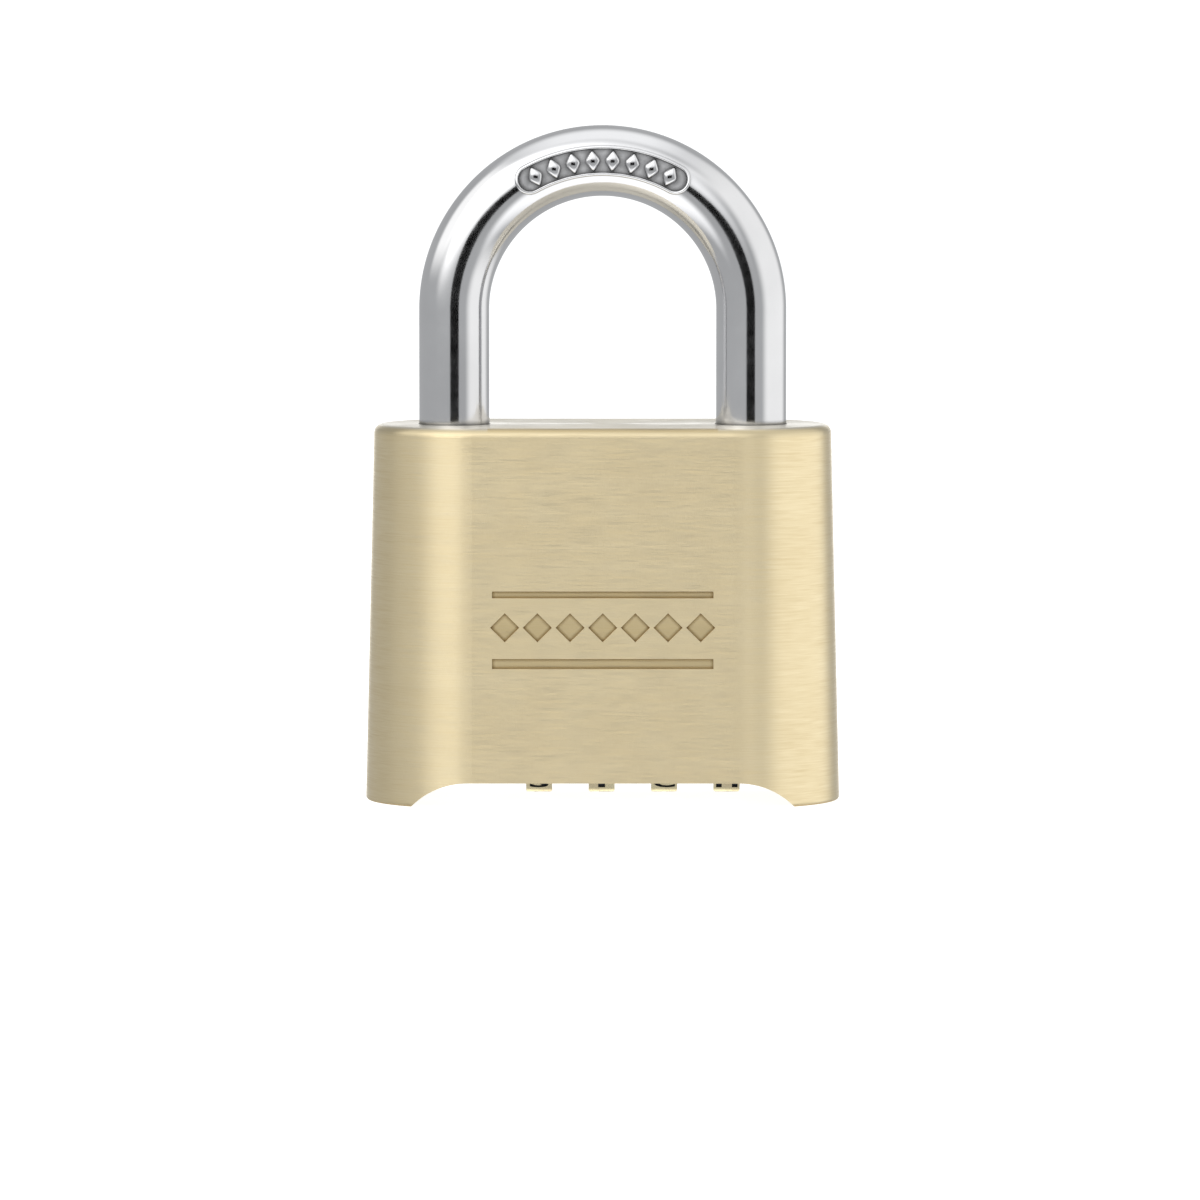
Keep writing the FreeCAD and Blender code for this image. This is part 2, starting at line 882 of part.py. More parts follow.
clips = []
rod_tools = [slope("rod_slope", "d.wedge_x", "d.wedge_sum", WEDGE)]
for side, x in (("left", "-d.clip_left"), ("right", "d.clip_right")):
    rod_tools.append(
        cut(
            f"clip_groove_{side}",
            rod(
                f"clip_groove_outer_{side}",
                "d.clip_r",
                "d.clip_thick + 2 * d.clip_play",
                (f"{x} - d.clip_play", "0", "d.wheel_z"),
                ALONG_X,
            ),
            [
                rod(
                    f"clip_groove_core_{side}",
                    "d.rod_groove_r",
                    "2 * d.margin",
                    (f"{x} - d.margin", "0", "d.wheel_z"),
                    ALONG_X,
                )
            ],
        )
    )
    clips.append(
        cut(
            f"clip_{side}",
            rod(f"clip_disc_{side}", "d.clip_r", "d.clip_thick", (x, "0", "d.wheel_z"), ALONG_X),
            [
                rod(
                    f"clip_eye_{side}",
                    "d.rod_groove_r + d.clip_play",
                    "2 * d.margin",
                    (f"{x} - d.margin", "0", "d.wheel_z"),
                    ALONG_X,
                ),
                box(
                    f"clip_mouth_{side}",
                    ("2 * d.margin", "d.clip_mouth", "d.margin"),
                    (f"{x} - d.margin", "-d.clip_mouth / 2", "d.wheel_z - d.margin"),
                ),
            ],
        )
    )
rod_blank = rod(
    "rod_blank", "d.rod_r", "d.rod_left + d.rod_right", ("-d.rod_left", "0", "d.wheel_z"), ALONG_X
)
cut("spindle", rod_blank, rod_tools)
clip_pair = doc.addObject("Part::Compound", "spindle_clips")
clip_pair.Links = clips


def coil(name, radius, wire, pitch, length, at, start, turn):
    """Round wire wound on a helix."""
    helix = doc.addObject("Part::Helix", f"{name}_path")
    drive(helix, Radius=radius, Pitch=pitch, Height=length)
    place(helix, at, turn)
    circle = doc.addObject("Part::Circle", f"{name}_wire")
    drive(circle, Radius=wire)
    place(circle, start, turn.multiply(UPRIGHT))
    sweep = doc.addObject("Part::Sweep", name)
    sweep.Sections = [circle]
    sweep.Spine = (helix, ["Edge1"])
    sweep.Solid = True
    sweep.Frenet = True
    return sweep


coil(
    "spindle_spring",
    "d.rod_spring_r",
    "d.rod_spring_wire",
    "d.rod_spring_pitch",
    "d.rod_spring_long",
    ("-d.rod_spring_left", "0", "d.wheel_z"),
    ("-d.rod_spring_left", "0", "d.wheel_z - d.rod_spring_r"),
    ALONG_X,
)
coil(
    "shackle_spring",
    "d.lift_spring_r",
    "d.lift_spring_wire",
    "d.lift_spring_pitch",
    "d.lift_spring_high - d.lift_spring_low",
    ("-d.leg_x", "0", "d.lift_spring_low"),
    ("-d.leg_x + d.lift_spring_r", "0", "d.lift_spring_low"),
    LEVEL,
)


# ---- locking bar ----
fork = cut(
    "fork",
    rod("fork_disc", "d.fork_r", "d.fork_high - d.fork_low", ("-d.leg_x", "0", "d.fork_low")),
    [
        rod(
            "fork_eye",
            "d.fork_slot_r",
            "d.fork_high - d.fork_low + 2 * d.margin",
            ("-d.leg_x", "0", "d.fork_low - d.margin"),
        ),
        box(
            "fork_mouth",
            ("2 * d.fork_r", "2 * d.fork_slot_r", "d.fork_high - d.fork_low + 2 * d.margin"),
            ("-d.leg_x - 2 * d.fork_r", "-d.fork_slot_r", "d.fork_low - d.margin"),
        ),
    ],
)
bar_parts = [
    fork,
    box(
        "bar_beam",
        ("d.bar_left + d.bar_right", "2 * d.bar_half", "d.fork_high - d.fork_low"),
        ("-d.bar_left", "-d.bar_half", "d.fork_low"),
    ),
]
for index in range(WHEELS):
    bar_parts.append(
        box(
            f"blade_{index + 1}",
            (
                "d.blade_to - d.blade_from",
                "2 * d.blade_half",
                "d.fork_low - d.blade_low + d.lug_high",
            ),
            (f"{wheel_x(index)} + d.blade_from", "-d.blade_half", "d.blade_low"),
        )
    )
    bar_parts.append(
        box(
            f"lug_{index + 1}",
            ("d.blade_from - d.lug_from + d.lug_high / 2", "2 * d.blade_half", "d.lug_high"),
            (f"{wheel_x(index)} + d.lug_from", "-d.blade_half", "d.blade_low"),
        )
    )
fuse("locking_bar", bar_parts)


# ---- detent comb ----
comb_parts = [
    box(
        "comb_strip",
        (
            "d.comb_left + d.comb_right",
            "d.comb_far - d.comb_near",
            "d.comb_high - d.comb_low",
        ),
        ("-d.comb_left", "d.comb_near", "d.comb_low"),
    )
]
for index in range(WHEELS):
    comb_parts.append(
        box(
            f"finger_{index + 1}",
            ("2 * d.finger_half", "d.finger_thick", "d.comb_high - d.finger_tip_z"),
            (f"{wheel_x(index)} - d.finger_half", "d.finger_y", "d.finger_tip_z"),
        )
    )
    comb_parts.append(
        rod(
            f"finger_tip_{index + 1}",
            "d.finger_tip_r",
            "2 * d.finger_half",
            (f"{wheel_x(index)} - d.finger_half", "d.finger_tip_y", "d.finger_tip_z"),
            ALONG_X,
        )
    )
fuse("detent_comb", comb_parts)


# ---- plunger under the toe ----
plunger_blank = fuse(
    "plunger_blank",
    [
        rod(
            "plunger_pin",
            "d.plunger_r",
            "d.plunger_top - d.plunger_floor - d.wedge_gap",
            ("d.plunger_x", "0", "d.plunger_floor + d.wedge_gap"),
        ),
        rod(
            "plunger_collar",
            "d.collar_r",
            "d.collar_high - d.collar_low",
            ("d.plunger_x", "0", "d.collar_low"),
        ),
    ],
)
plunger_slope = slope(
    "plunger_slope",
    "d.wedge_x + 0.75 * d.wedge_long",
    "d.wedge_sum + d.wedge_gap",
    BACK_WEDGE,
)
cut("change_plunger", plunger_blank, [plunger_slope])


# ---- cover plate and its screws ----
cover_tools = [
    box(
        "cover_end",
        ("d.cover_r + d.hollow_centre", "2 * d.cover_r + 2 * d.margin", "2 * d.margin"),
        (
            "-d.cover_left - d.cover_r - d.hollow_centre",
            "-d.cover_r - d.margin",
            "d.cover_low - d.margin",
        ),
    ),
    rod(
        "cover_plunger_hole",
        "d.plunger_bore_r",
        "2 * d.margin",
        ("d.plunger_x", "0", "d.cover_low - d.margin"),
    ),
]
for index in range(WHEELS):
    cover_tools.append(
        box(
            f"blade_slot_{index + 1}",
            (
                "d.cover_slot_to - d.cover_slot_from",
                "2 * d.cover_slot_half",
                "2 * d.margin",
            ),
            (
                f"{wheel_x(index)} + d.cover_slot_from",
                "-d.cover_slot_half",
                "d.cover_low - d.margin",
            ),
        )
    )
screws = []
for side, x, y in (
    ("left", "-d.screw_left_x", "-d.screw_left_y"),
    ("right", "d.screw_right_x", "-d.screw_right_y"),
):
    cover_tools.append(
        rod(f"cover_hole_{side}", "d.screw_hole_r", "2 * d.margin", (x, y, "d.cover_low - d.margin"))
    )
    cover_tools.append(
        rod(f"cover_seat_{side}", "d.screw_seat_r", "d.margin", (x, y, "d.screw_seat"))
    )
    screw_blank = fuse(
        f"screw_blank_{side}",
        [
            rod(
                f"screw_shank_{side}",
                "d.screw_r",
                "d.screw_seat - d.screw_low",
                (x, y, "d.screw_low"),
            ),
            rod(
                f"screw_head_{side}",
                "d.screw_head_r",
                "d.cover_high - d.screw_seat",
                (x, y, "d.screw_seat"),
            ),
        ],
    )
    screws.append(
        cut(
            f"screw_{side}",
            screw_blank,
            [
                box(
                    f"driver_slot_{side}",
                    ("2 * d.screw_seat_r", "d.driver_slot", "d.margin"),
                    (
                        f"{x} - d.screw_seat_r",
                        f"{y} - d.driver_slot / 2",
                        "d.cover_high - 0.75 * d.driver_slot",
                    ),
                )
            ],
        )
    )
cover_blank = stadium("cover_blank", "d.hollow_centre", "d.cover_r", "d.cover_low", "d.cover_high")
cut("carrier_cap", cover_blank, cover_tools)
screw_pair = doc.addObject("Part::Compound", "cap_screws")
screw_pair.Links = screws


# ---- dowels, cut flush with the outside of the case ----
dowels = []
for side, x in (("left", "-d.dowel_x"), ("right", "d.dowel_x")):
    dowel = doc.addObject("Part::Common", f"dowel_{side}")
    dowel.Base = rod(
        f"dowel_stock_{side}",
        "d.dowel_r",
        "d.case_r_low",
        (x, "d.dowel_near + 0.1", "d.dowel_z"),
        ALONG_Y,
    )
    dowel.Tool = case_shell
    dowels.append(dowel)
dowel_pair = doc.addObject("Part::Compound", "retaining_pins")
dowel_pair.Links = dowels


# ---- checks, then one file for each piece ----
doc.recompute()
failed = [obj.Name for obj in doc.Objects if {"Invalid", "Error"} & set(obj.State)]
if failed:
    raise RuntimeError(f"failed objects: {failed}")
for node in NODES:
    piece = doc.getObject(node)
    piece.Label = node
    shape = piece.Shape
    if shape.isNull() or not shape.isValid() or not shape.Solids:
        raise RuntimeError(f"bad shape: {node}")
for node in NODES:
    piece = doc.getObject(node)
    piece.Shape.exportStep(f"parts/{node}.step")
    size = piece.Shape.BoundBox
    print(node, len(piece.Shape.Solids), round(piece.Shape.Volume, 2), size)
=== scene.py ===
import json
import math

import bmesh
import bpy
from mathutils import Matrix, Vector

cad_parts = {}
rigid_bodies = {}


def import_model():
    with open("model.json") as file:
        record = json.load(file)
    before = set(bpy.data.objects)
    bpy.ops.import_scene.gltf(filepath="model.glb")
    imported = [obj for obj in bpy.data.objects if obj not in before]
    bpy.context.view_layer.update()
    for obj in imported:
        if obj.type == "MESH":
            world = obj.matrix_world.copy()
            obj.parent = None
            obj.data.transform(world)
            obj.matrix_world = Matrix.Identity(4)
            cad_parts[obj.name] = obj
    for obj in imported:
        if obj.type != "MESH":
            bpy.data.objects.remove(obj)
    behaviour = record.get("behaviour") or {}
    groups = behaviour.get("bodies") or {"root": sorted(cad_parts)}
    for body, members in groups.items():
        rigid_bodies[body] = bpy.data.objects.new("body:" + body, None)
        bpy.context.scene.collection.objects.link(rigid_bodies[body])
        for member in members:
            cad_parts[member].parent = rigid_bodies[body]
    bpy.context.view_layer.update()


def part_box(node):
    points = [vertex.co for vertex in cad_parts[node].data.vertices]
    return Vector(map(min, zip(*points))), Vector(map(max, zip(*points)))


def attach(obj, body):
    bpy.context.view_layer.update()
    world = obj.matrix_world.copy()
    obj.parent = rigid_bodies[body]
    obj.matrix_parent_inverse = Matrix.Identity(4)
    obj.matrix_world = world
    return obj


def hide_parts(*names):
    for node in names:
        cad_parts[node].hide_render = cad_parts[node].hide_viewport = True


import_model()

bl_info = {
    "name": "Combination Padlock",
    "version": (1, 0, 0),
    "blender": (4, 5, 0),
    "location": "3D View > Sidebar > Padlock",
    "description": "Finishes a brass combination padlock: plated shackle, dial wheels, plate and studio",
    "category": "Object",
}

MM = 0.001
WHEELS = 4
PLACES = 10
PLACE_ANGLE = 2 * math.pi / PLACES
# characters round each wheel, starting at the index bar and going towards the front
CHARACTERS = ("RSTLDWUCKP", "EIONTYHSLA", "ACEOURTLIN", "GHKNSTDYLF")

CASE_LOW, CASE_HIGH = (Vector(corner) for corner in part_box("lock_body"))
BAR_LOW, BAR_HIGH = (Vector(corner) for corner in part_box("shackle"))
RINGS = [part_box(f"dial_ring_{number + 1}") for number in range(WHEELS)]
BAR_RADIUS = (BAR_HIGH.y - BAR_LOW.y) / 2
RIGHT_LEG = BAR_HIGH.x - BAR_RADIUS
LEFT_LEG = -RIGHT_LEG
BEND_HEIGHT = BAR_HIGH.z - BAR_RADIUS - (RIGHT_LEG - LEFT_LEG) / 2
WHEEL_X = [(low[0] + high[0]) / 2 for low, high in RINGS]
WHEEL_HEIGHT = (RINGS[0][0][2] + RINGS[0][1][2]) / 2
WHEEL_RADIUS = (RINGS[0][1][2] - RINGS[0][0][2]) / 2
WHEEL_HALF = (RINGS[0][1][0] - RINGS[0][0][0]) / 2
# the middle of the badge runs a little outside the bar's centre line
BADGE_RADIUS = (RIGHT_LEG - LEFT_LEG) / 2 + 0.075 * MM
# ends of the bar: the toe, and the heel with its neck and the seat of its spring
TOE_END = CASE_HIGH.z - 8.6 * MM
NECK_TOP = BAR_LOW.z + 7.85 * MM
NECK_LENGTH = 2.5 * MM
NECK_RADIUS = 2.6 * MM
END_BEVEL = 0.6 * MM
SEAT_RADIUS = 2.45 * MM
SEAT_DEPTH = 4.6 * MM
# lozenge studs of the badge
STUD_RADIUS = 1.28 * MM
STUD_WIDTH_SHARE = 0.68
STUD_DEPTH = 0.7 * MM
STUD_BEVEL = 0.26 * MM
# inside of a wheel: room for the cam on its left, splines for it on its right
CAM_ROOM = 5.1 * MM
SPLINE_BORE = 4.4 * MM
SPLINE_START = 0.1 * MM
SPLINE_RADIUS = 0.65 * MM
GROOVE_RADIUS = 1.3 * MM
GROOVE_REACH = 8.35 * MM
# how far the rounded rim of a wheel reaches in, and its middle point
RIM_EASE = 0.22 * MM
RIM_MIDDLE = (0.06 * MM, 0.08 * MM)
CASE_TOP = CASE_HIGH.z
# the front leans back from the feet to the top by this much
CASE_LEAN = 1.0 * MM
CASE_FOOT = -CASE_LOW.y
ENGRAVING_LOW = 13.0 * MM
ENGRAVING_HALF_WIDTH = 12.8 * MM
STUDIO_MIDDLE = Vector((0, 0, 0.035))
# the share of each colour channel that is left in the painted shade of corners and crevices
PAINTED_SHADE_SHARE = (0.18, 0.12, 0.07)


# ---- what a user would change ----
class PADLOCK_PG_shackle(bpy.types.PropertyGroup):
    """Sizes of the shackle and the badge on its crown"""

    bar_radius: bpy.props.FloatProperty(
        name="Bar Radius",
        description="Radius of the round bar",
        default=BAR_RADIUS,
        unit="LENGTH",
    )
    badge_half_width: bpy.props.FloatProperty(
        name="Badge Half Width",
        description="Half of the badge's width across the bar",
        default=1.52 * MM,
        unit="LENGTH",
    )
    badge_sweep: bpy.props.FloatProperty(
        name="Badge Sweep",
        description="Angle of the badge between its two round ends",
        default=math.radians(58),
        subtype="ANGLE",
    )
    badge_depth: bpy.props.FloatProperty(
        name="Badge Depth",
        description="Depth of the badge's floor below the crown",
        default=0.5 * MM,
        unit="LENGTH",
    )
    bead_radius: bpy.props.FloatProperty(
        name="Bead Radius",
        description="Radius of the raised bead round the badge",
        default=0.2 * MM,
        unit="LENGTH",
    )
    studs: bpy.props.IntProperty(
        name="Studs",
        description="Lozenge studs standing in the badge",
        default=8,
        min=1,
    )


class PADLOCK_PG_dials(bpy.types.PropertyGroup):
    """Sizes of the four dial wheels and their characters"""

    radius: bpy.props.FloatProperty(
        name="Wheel Radius",
        description="Outside radius of a wheel",
        default=WHEEL_RADIUS,
        unit="LENGTH",
    )
    half_width: bpy.props.FloatProperty(
        name="Half Width",
        description="Half of a wheel's width",
        default=WHEEL_HALF,
        unit="LENGTH",
    )
    character_height: bpy.props.FloatProperty(
        name="Character Height",
        description="Height of an engraved capital",
        default=2.6 * MM,
        unit="LENGTH",
    )
    character_weight: bpy.props.FloatProperty(
        name="Character Weight",
        description="How far the strokes of a capital are thickened on each side",
        default=0.14 * MM,
        unit="LENGTH",
    )
    character_depth: bpy.props.FloatProperty(
        name="Character Depth",
        description="Depth of the painted floor below the rim of the wheel",
        default=0.3 * MM,
        unit="LENGTH",
    )


class PADLOCK_PG_finish(bpy.types.PropertyGroup):
    """Colours of the metals, the paint and the seal"""

    case_light: bpy.props.FloatVectorProperty(
        name="Case Light",
        description="Lightest streaks of the brushed brass case",
        subtype="COLOR",
        size=3,
        default=(0.90, 0.775, 0.515),
    )
    case_dark: bpy.props.FloatVectorProperty(
        name="Case Dark",
        description="Darkest streaks of the brushed brass case",
        subtype="COLOR",
        size=3,
        default=(0.80, 0.665, 0.405),
    )
    plate: bpy.props.FloatVectorProperty(
        name="Plate",
        description="Golden cast brass of the dial plate",
        subtype="COLOR",
        size=3,
        default=(1.0, 0.79, 0.40),
    )
    wheel: bpy.props.FloatVectorProperty(
        name="Wheel",
        description="Pale turned brass of the wheels",
        subtype="COLOR",
        size=3,
        default=(0.90, 0.75, 0.47),
    )
    plating: bpy.props.FloatVectorProperty(
        name="Plating",
        description="Bright plating of the shackle",
        subtype="COLOR",
        size=3,
        default=(0.76, 0.76, 0.77),
    )
    steel: bpy.props.FloatVectorProperty(
        name="Steel",
        description="Bare steel inside the case",
        subtype="COLOR",
        size=3,
        default=(0.42, 0.41, 0.39),
    )
    paint: bpy.props.FloatVectorProperty(
        name="Paint",
        description="Black paint in the characters",
        subtype="COLOR",
        size=3,
        default=(0.006, 0.007, 0.009),
    )


class PADLOCK_PG_studio(bpy.types.PropertyGroup):
    """Camera and lights"""

    distance: bpy.props.FloatProperty(
        name="Camera Distance",
        description="Distance of the camera in front of the padlock",
        default=1.0,
        unit="LENGTH",
    )
    height: bpy.props.FloatProperty(
        name="Camera Height",
        description="Height of the camera above the floor",
        default=0.098,
        unit="LENGTH",
    )
    aim_height: bpy.props.FloatProperty(
        name="Aim Height",
        description="Height of the point the camera looks at",
        default=0.0222,
        unit="LENGTH",
    )
    aim_side: bpy.props.FloatProperty(
        name="Aim Side",
        description="Sideways place of the camera and of the point it looks at",
        default=-0.0003,
        unit="LENGTH",
    )
    lens: bpy.props.FloatProperty(
        name="Lens",
        description="Focal length in millimetres on a 36 mm sensor",
        default=270.0,
    )
    surroundings: bpy.props.FloatProperty(
        name="Surroundings",
        description="Brightness of the even grey surroundings",
        default=0.5,
    )


# ---- helpers ----
def settings(name):
    """One of this file's groups of settings."""
    return getattr(bpy.context.scene, f"padlock_{name}")


def cad_object(node):
    """The CAD node's own object."""
    for thing in bpy.data.objects:
        if thing.type == "MESH" and thing.name == node:
            return thing
    raise RuntimeError(f"no CAD object named {node}")


def finish_cad(node, material):
    """Give a CAD node a better material."""
    cad_object(node).material_slots[0].material = material


def add_piece(name, mesh, body, materials=()):
    """Link a finished mesh as a piece that rides on a CAD body."""
    mesh.name = name
    for material in materials:
        mesh.materials.append(material)
    piece = bpy.data.objects.new(name, mesh)
    bpy.context.scene.collection.objects.link(piece)
    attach(piece, body)
    return piece


def smooth_faces(mesh, sharp=None):
    """Shade a mesh smooth, with its edges sharp past an angle in degrees."""
    for face in mesh.polygons:
        face.use_smooth = True
    if sharp is not None:
        mesh.set_sharp_from_angle(angle=math.radians(sharp))


def to_mesh(shape, name, sharp=None):
    """Turn a bmesh into a smooth mesh and free it."""
    mesh = bpy.data.meshes.new(name)
    shape.to_mesh(mesh)
    shape.free()
    smooth_faces(mesh, sharp)
    return mesh


def cut_away(mesh, cutter, name):
    """Take the cutter's space out of a mesh; new faces keep the cutter's materials."""
    base = bpy.data.objects.new(f"{name}_base", mesh)
    tool = bpy.data.objects.new(f"{name}_tool", cutter)
    for thing in (base, tool):
        bpy.context.scene.collection.objects.link(thing)
    step = base.modifiers.new("cut", "BOOLEAN")
    step.operation = "DIFFERENCE"
    step.solver = "EXACT"
    step.use_self = True
    step.material_mode = "TRANSFER"
    step.object = tool
    graph = bpy.context.evaluated_depsgraph_get()
    result = bpy.data.meshes.new_from_object(base.evaluated_get(graph))
    for thing in (base, tool):
        old = thing.data
        bpy.data.objects.remove(thing)
        bpy.data.meshes.remove(old)
    return result


def pull_ring(shape, edges, shift, scale=1.0, centre=(0, 0, 0)):
    """Extrude a ring of edges, move it and scale it about an upright axis; return the new ring."""
    made = bmesh.ops.extrude_edge_only(shape, edges=edges)["geom"]
    points = [item for item in made if isinstance(item, bmesh.types.BMVert)]
    bmesh.ops.translate(shape, verts=points, vec=shift)
    if scale != 1.0:
        space = Matrix.Translation(-Vector(centre))
        bmesh.ops.scale(shape, verts=points, vec=(scale, scale, 1.0), space=space)
    return [
        item
        for item in made
        if isinstance(item, bmesh.types.BMEdge)
        and all(point in points for point in item.verts)
    ]


def close_up(shape):
    """Merge doubles and point every face outwards."""
    bmesh.ops.remove_doubles(shape, verts=shape.verts, dist=0.002 * MM)
    bmesh.ops.recalc_face_normals(shape, faces=shape.faces)


# ---- shader helpers ----
def new_material(name):
    """A material with its node tree and its main shader."""
    material = bpy.data.materials.new(name)
    material.use_nodes = True
    return material, material.node_tree, material.node_tree.nodes["Principled BSDF"]


def effect_group(name, inputs, outputs):
    """A shader node group with named sockets."""
    tree = bpy.data.node_groups.new(name, "ShaderNodeTree")
    for label, kind, default in inputs:
        socket = tree.interface.new_socket(label, in_out="INPUT", socket_type=kind)
        socket.default_value = default
    for label, kind in outputs:
        tree.interface.new_socket(label, in_out="OUTPUT", socket_type=kind)
    start = tree.nodes.new("NodeGroupInput")
    end = tree.nodes.new("NodeGroupOutput")
    return tree, start, end


def noise_node(tree, vector, scale, detail, rough=0.5):
    """Smooth noise between 0 and 1."""
    node = tree.nodes.new("ShaderNodeTexNoise")
    node.inputs["Scale"].default_value = scale
    node.inputs["Detail"].default_value = detail
    node.inputs["Roughness"].default_value = rough
    tree.links.new(vector, node.inputs["Vector"])
    return node.outputs["Fac"]


def spread(tree, value, low, high, to_low=0.0, to_high=1.0):
    """Map a value range to another, clamped."""
    node = tree.nodes.new("ShaderNodeMapRange")
    for label, number in (
        ("From Min", low),
        ("From Max", high),
        ("To Min", to_low),
        ("To Max", to_high),
    ):
        node.inputs[label].default_value = number
    tree.links.new(value, node.inputs["Value"])
    return node.outputs["Result"]


def blend_colours(tree, amount, first, second, mode="MIX"):
    """Mix two colours, each a socket or a plain colour."""
    node = tree.nodes.new("ShaderNodeMix")
    node.data_type = "RGBA"
    node.blend_type = mode
    for label, colour in (("A", first), ("B", second)):
        socket = [s for s in node.inputs if s.name == label and s.type == "RGBA"][0]
        if isinstance(colour, bpy.types.NodeSocket):
            tree.links.new(colour, socket)
        else:
            socket.default_value = (*colour, 1.0)
    factor = [s for s in node.inputs if s.name == "Factor" and s.type == "VALUE"][0]
    if isinstance(amount, bpy.types.NodeSocket):
        tree.links.new(amount, factor)
    else:
        factor.default_value = amount
    return [s for s in node.outputs if s.type == "RGBA"][0]


def figure(tree, kind, first, second):
    """Plain arithmetic on sockets or numbers."""
    node = tree.nodes.new("ShaderNodeMath")
    node.operation = kind
    for index, value in enumerate((first, second)):
        if isinstance(value, bpy.types.NodeSocket):
            tree.links.new(value, node.inputs[index])
        else:
            node.inputs[index].default_value = value
    return node.outputs[0]


def figures(tree, kind, first, *others):
    """The same arithmetic over several sockets or numbers."""
    for value in others:
        first = figure(tree, kind, first, value)
    return first


def share_of(colour, shares):
    """A colour with each channel scaled by its own share."""
    return tuple(min(1.0, channel * share) for channel, share in zip(colour, shares))


def place_axes(tree, output="Object"):
    """The X, Y and Z sockets of a coordinate."""
    parts = tree.nodes.new("ShaderNodeSeparateXYZ")
    place = tree.nodes.new("ShaderNodeTexCoord").outputs[output]
    tree.links.new(place, parts.inputs["Vector"])
    return parts.outputs["X"], parts.outputs["Y"], parts.outputs["Z"]


def raise_surface(tree, shader, height, strength, distance):
    """Feed a height into the shader's normal."""
    bump = tree.nodes.new("ShaderNodeBump")
    bump.inputs["Strength"].default_value = strength
    bump.inputs["Distance"].default_value = distance
    tree.links.new(height, bump.inputs["Height"])
    tree.links.new(bump.outputs["Normal"], shader.inputs["Normal"])


def place_group(tree, group, **values):
    """Place an effect in a material with its own values."""
    node = tree.nodes.new("ShaderNodeGroup")
    node.node_tree = group
    for label, value in values.items():
        node.inputs[label.replace("_", " ")].default_value = value
    return node


def streaks_group():
    """Fine brushing: thin lines drawn out level, with broader bands under them."""
    if "Brushed Streaks" in bpy.data.node_groups:
        return bpy.data.node_groups["Brushed Streaks"]
    tree, start, end = effect_group(
        "Brushed Streaks",
        [
            ("Fine Stretch", "NodeSocketVector", (260.0, 260.0, 7000.0)),
            ("Broad Stretch", "NodeSocketVector", (45.0, 45.0, 1100.0)),
        ],
        [("Fine", "NodeSocketFloat"), ("Broad", "NodeSocketFloat"), ("Height", "NodeSocketFloat")],
    )
    place = tree.nodes.new("ShaderNodeTexCoord").outputs["Object"]
    masks = []
    for label in ("Fine Stretch", "Broad Stretch"):
        stretch = tree.nodes.new("ShaderNodeVectorMath")
        stretch.operation = "MULTIPLY"
        tree.links.new(place, stretch.inputs[0])
        tree.links.new(start.outputs[label], stretch.inputs[1])
        masks.append(noise_node(tree, stretch.outputs["Vector"], 1.0, 3.0, 0.6))
    tree.links.new(spread(tree, masks[0], 0.3, 0.7), end.inputs["Fine"])
    tree.links.new(spread(tree, masks[1], 0.35, 0.65), end.inputs["Broad"])
    tree.links.new(figure(tree, "ADD", masks[0], masks[1]), end.inputs["Height"])
    return tree


def mottle_group():
    """Soft blotches and fine grain, as on cast or handled metal."""
    if "Metal Mottle" in bpy.data.node_groups:
        return bpy.data.node_groups["Metal Mottle"]
    tree, start, end = effect_group(
        "Metal Mottle",
        [("Blotch Scale", "NodeSocketFloat", 180.0), ("Grain Scale", "NodeSocketFloat", 3500.0)],
        [("Blotch", "NodeSocketFloat"), ("Grain", "NodeSocketFloat")],
    )
    place = tree.nodes.new("ShaderNodeTexCoord").outputs["Object"]
    for label, scale, low, high in (
        ("Blotch", "Blotch Scale", 0.38, 0.62),
        ("Grain", "Grain Scale", 0.3, 0.7),
    ):
        node = tree.nodes.new("ShaderNodeTexNoise")
        node.inputs["Detail"].default_value = 4.0
        tree.links.new(place, node.inputs["Vector"])
        tree.links.new(start.outputs[scale], node.inputs["Scale"])
        tree.links.new(spread(tree, node.outputs["Fac"], low, high), end.inputs[label])
    return tree


def crevice_group(own):
    """Painted shade mask from occlusion: 1 deep in corners, 0 on open surfaces; own leaves the other
    pieces out.
    """
    name = "Own Crevices" if own else "All Crevices"
    if name in bpy.data.node_groups:
        return bpy.data.node_groups[name]
    tree, start, end = effect_group(
        name,
        [("Reach", "NodeSocketFloat", 0.5 * MM)],
        [("Painted Shade", "NodeSocketFloat")],
    )
    node = tree.nodes.new("ShaderNodeAmbientOcclusion")
    node.samples = 8
    node.only_local = own
    tree.links.new(start.outputs["Reach"], node.inputs["Distance"])
    tree.links.new(spread(tree, node.outputs["AO"], 1.0, 0.45), end.inputs["Painted Shade"])
    return tree


def crevices(tree, reach, own=True):
    """The painted-shade mask of a crevice group, with its reach set."""
    return place_group(tree, crevice_group(own), Reach=reach).outputs["Painted Shade"]


# ---- finishes ----
def engraving_mask(tree):
    """1 in the grooves of the front face, 0 on the face itself."""
    across, along, height = place_axes(tree)
    lean = figure(tree, "MULTIPLY", height, CASE_LEAN / CASE_TOP)
    depth = figure(tree, "SUBTRACT", along, figure(tree, "SUBTRACT", lean, CASE_FOOT))
    aside = figure(tree, "ABSOLUTE", across, 0.0)
    return figures(
        tree,
        "MULTIPLY",
        spread(tree, depth, 0.05 * MM, 0.3 * MM),
        spread(tree, depth, 1.0 * MM, 0.9 * MM),
        spread(tree, height, ENGRAVING_LOW, ENGRAVING_LOW + 0.2 * MM),
        spread(tree, aside, ENGRAVING_HALF_WIDTH, ENGRAVING_HALF_WIDTH - 0.2 * MM),
    )


def below_top(tree, low, high, most=1.0):
    """0 further below the top of the case than low, rising to most at high."""
    height = place_axes(tree)[2]
    return spread(tree, height, CASE_TOP - low, CASE_TOP - high, 0.0, most)


def facing_down(tree):
    """1 where the surface looks down, 0 on walls and tops."""
    return spread(tree, place_axes(tree, "Normal")[2], -0.35, -0.6)


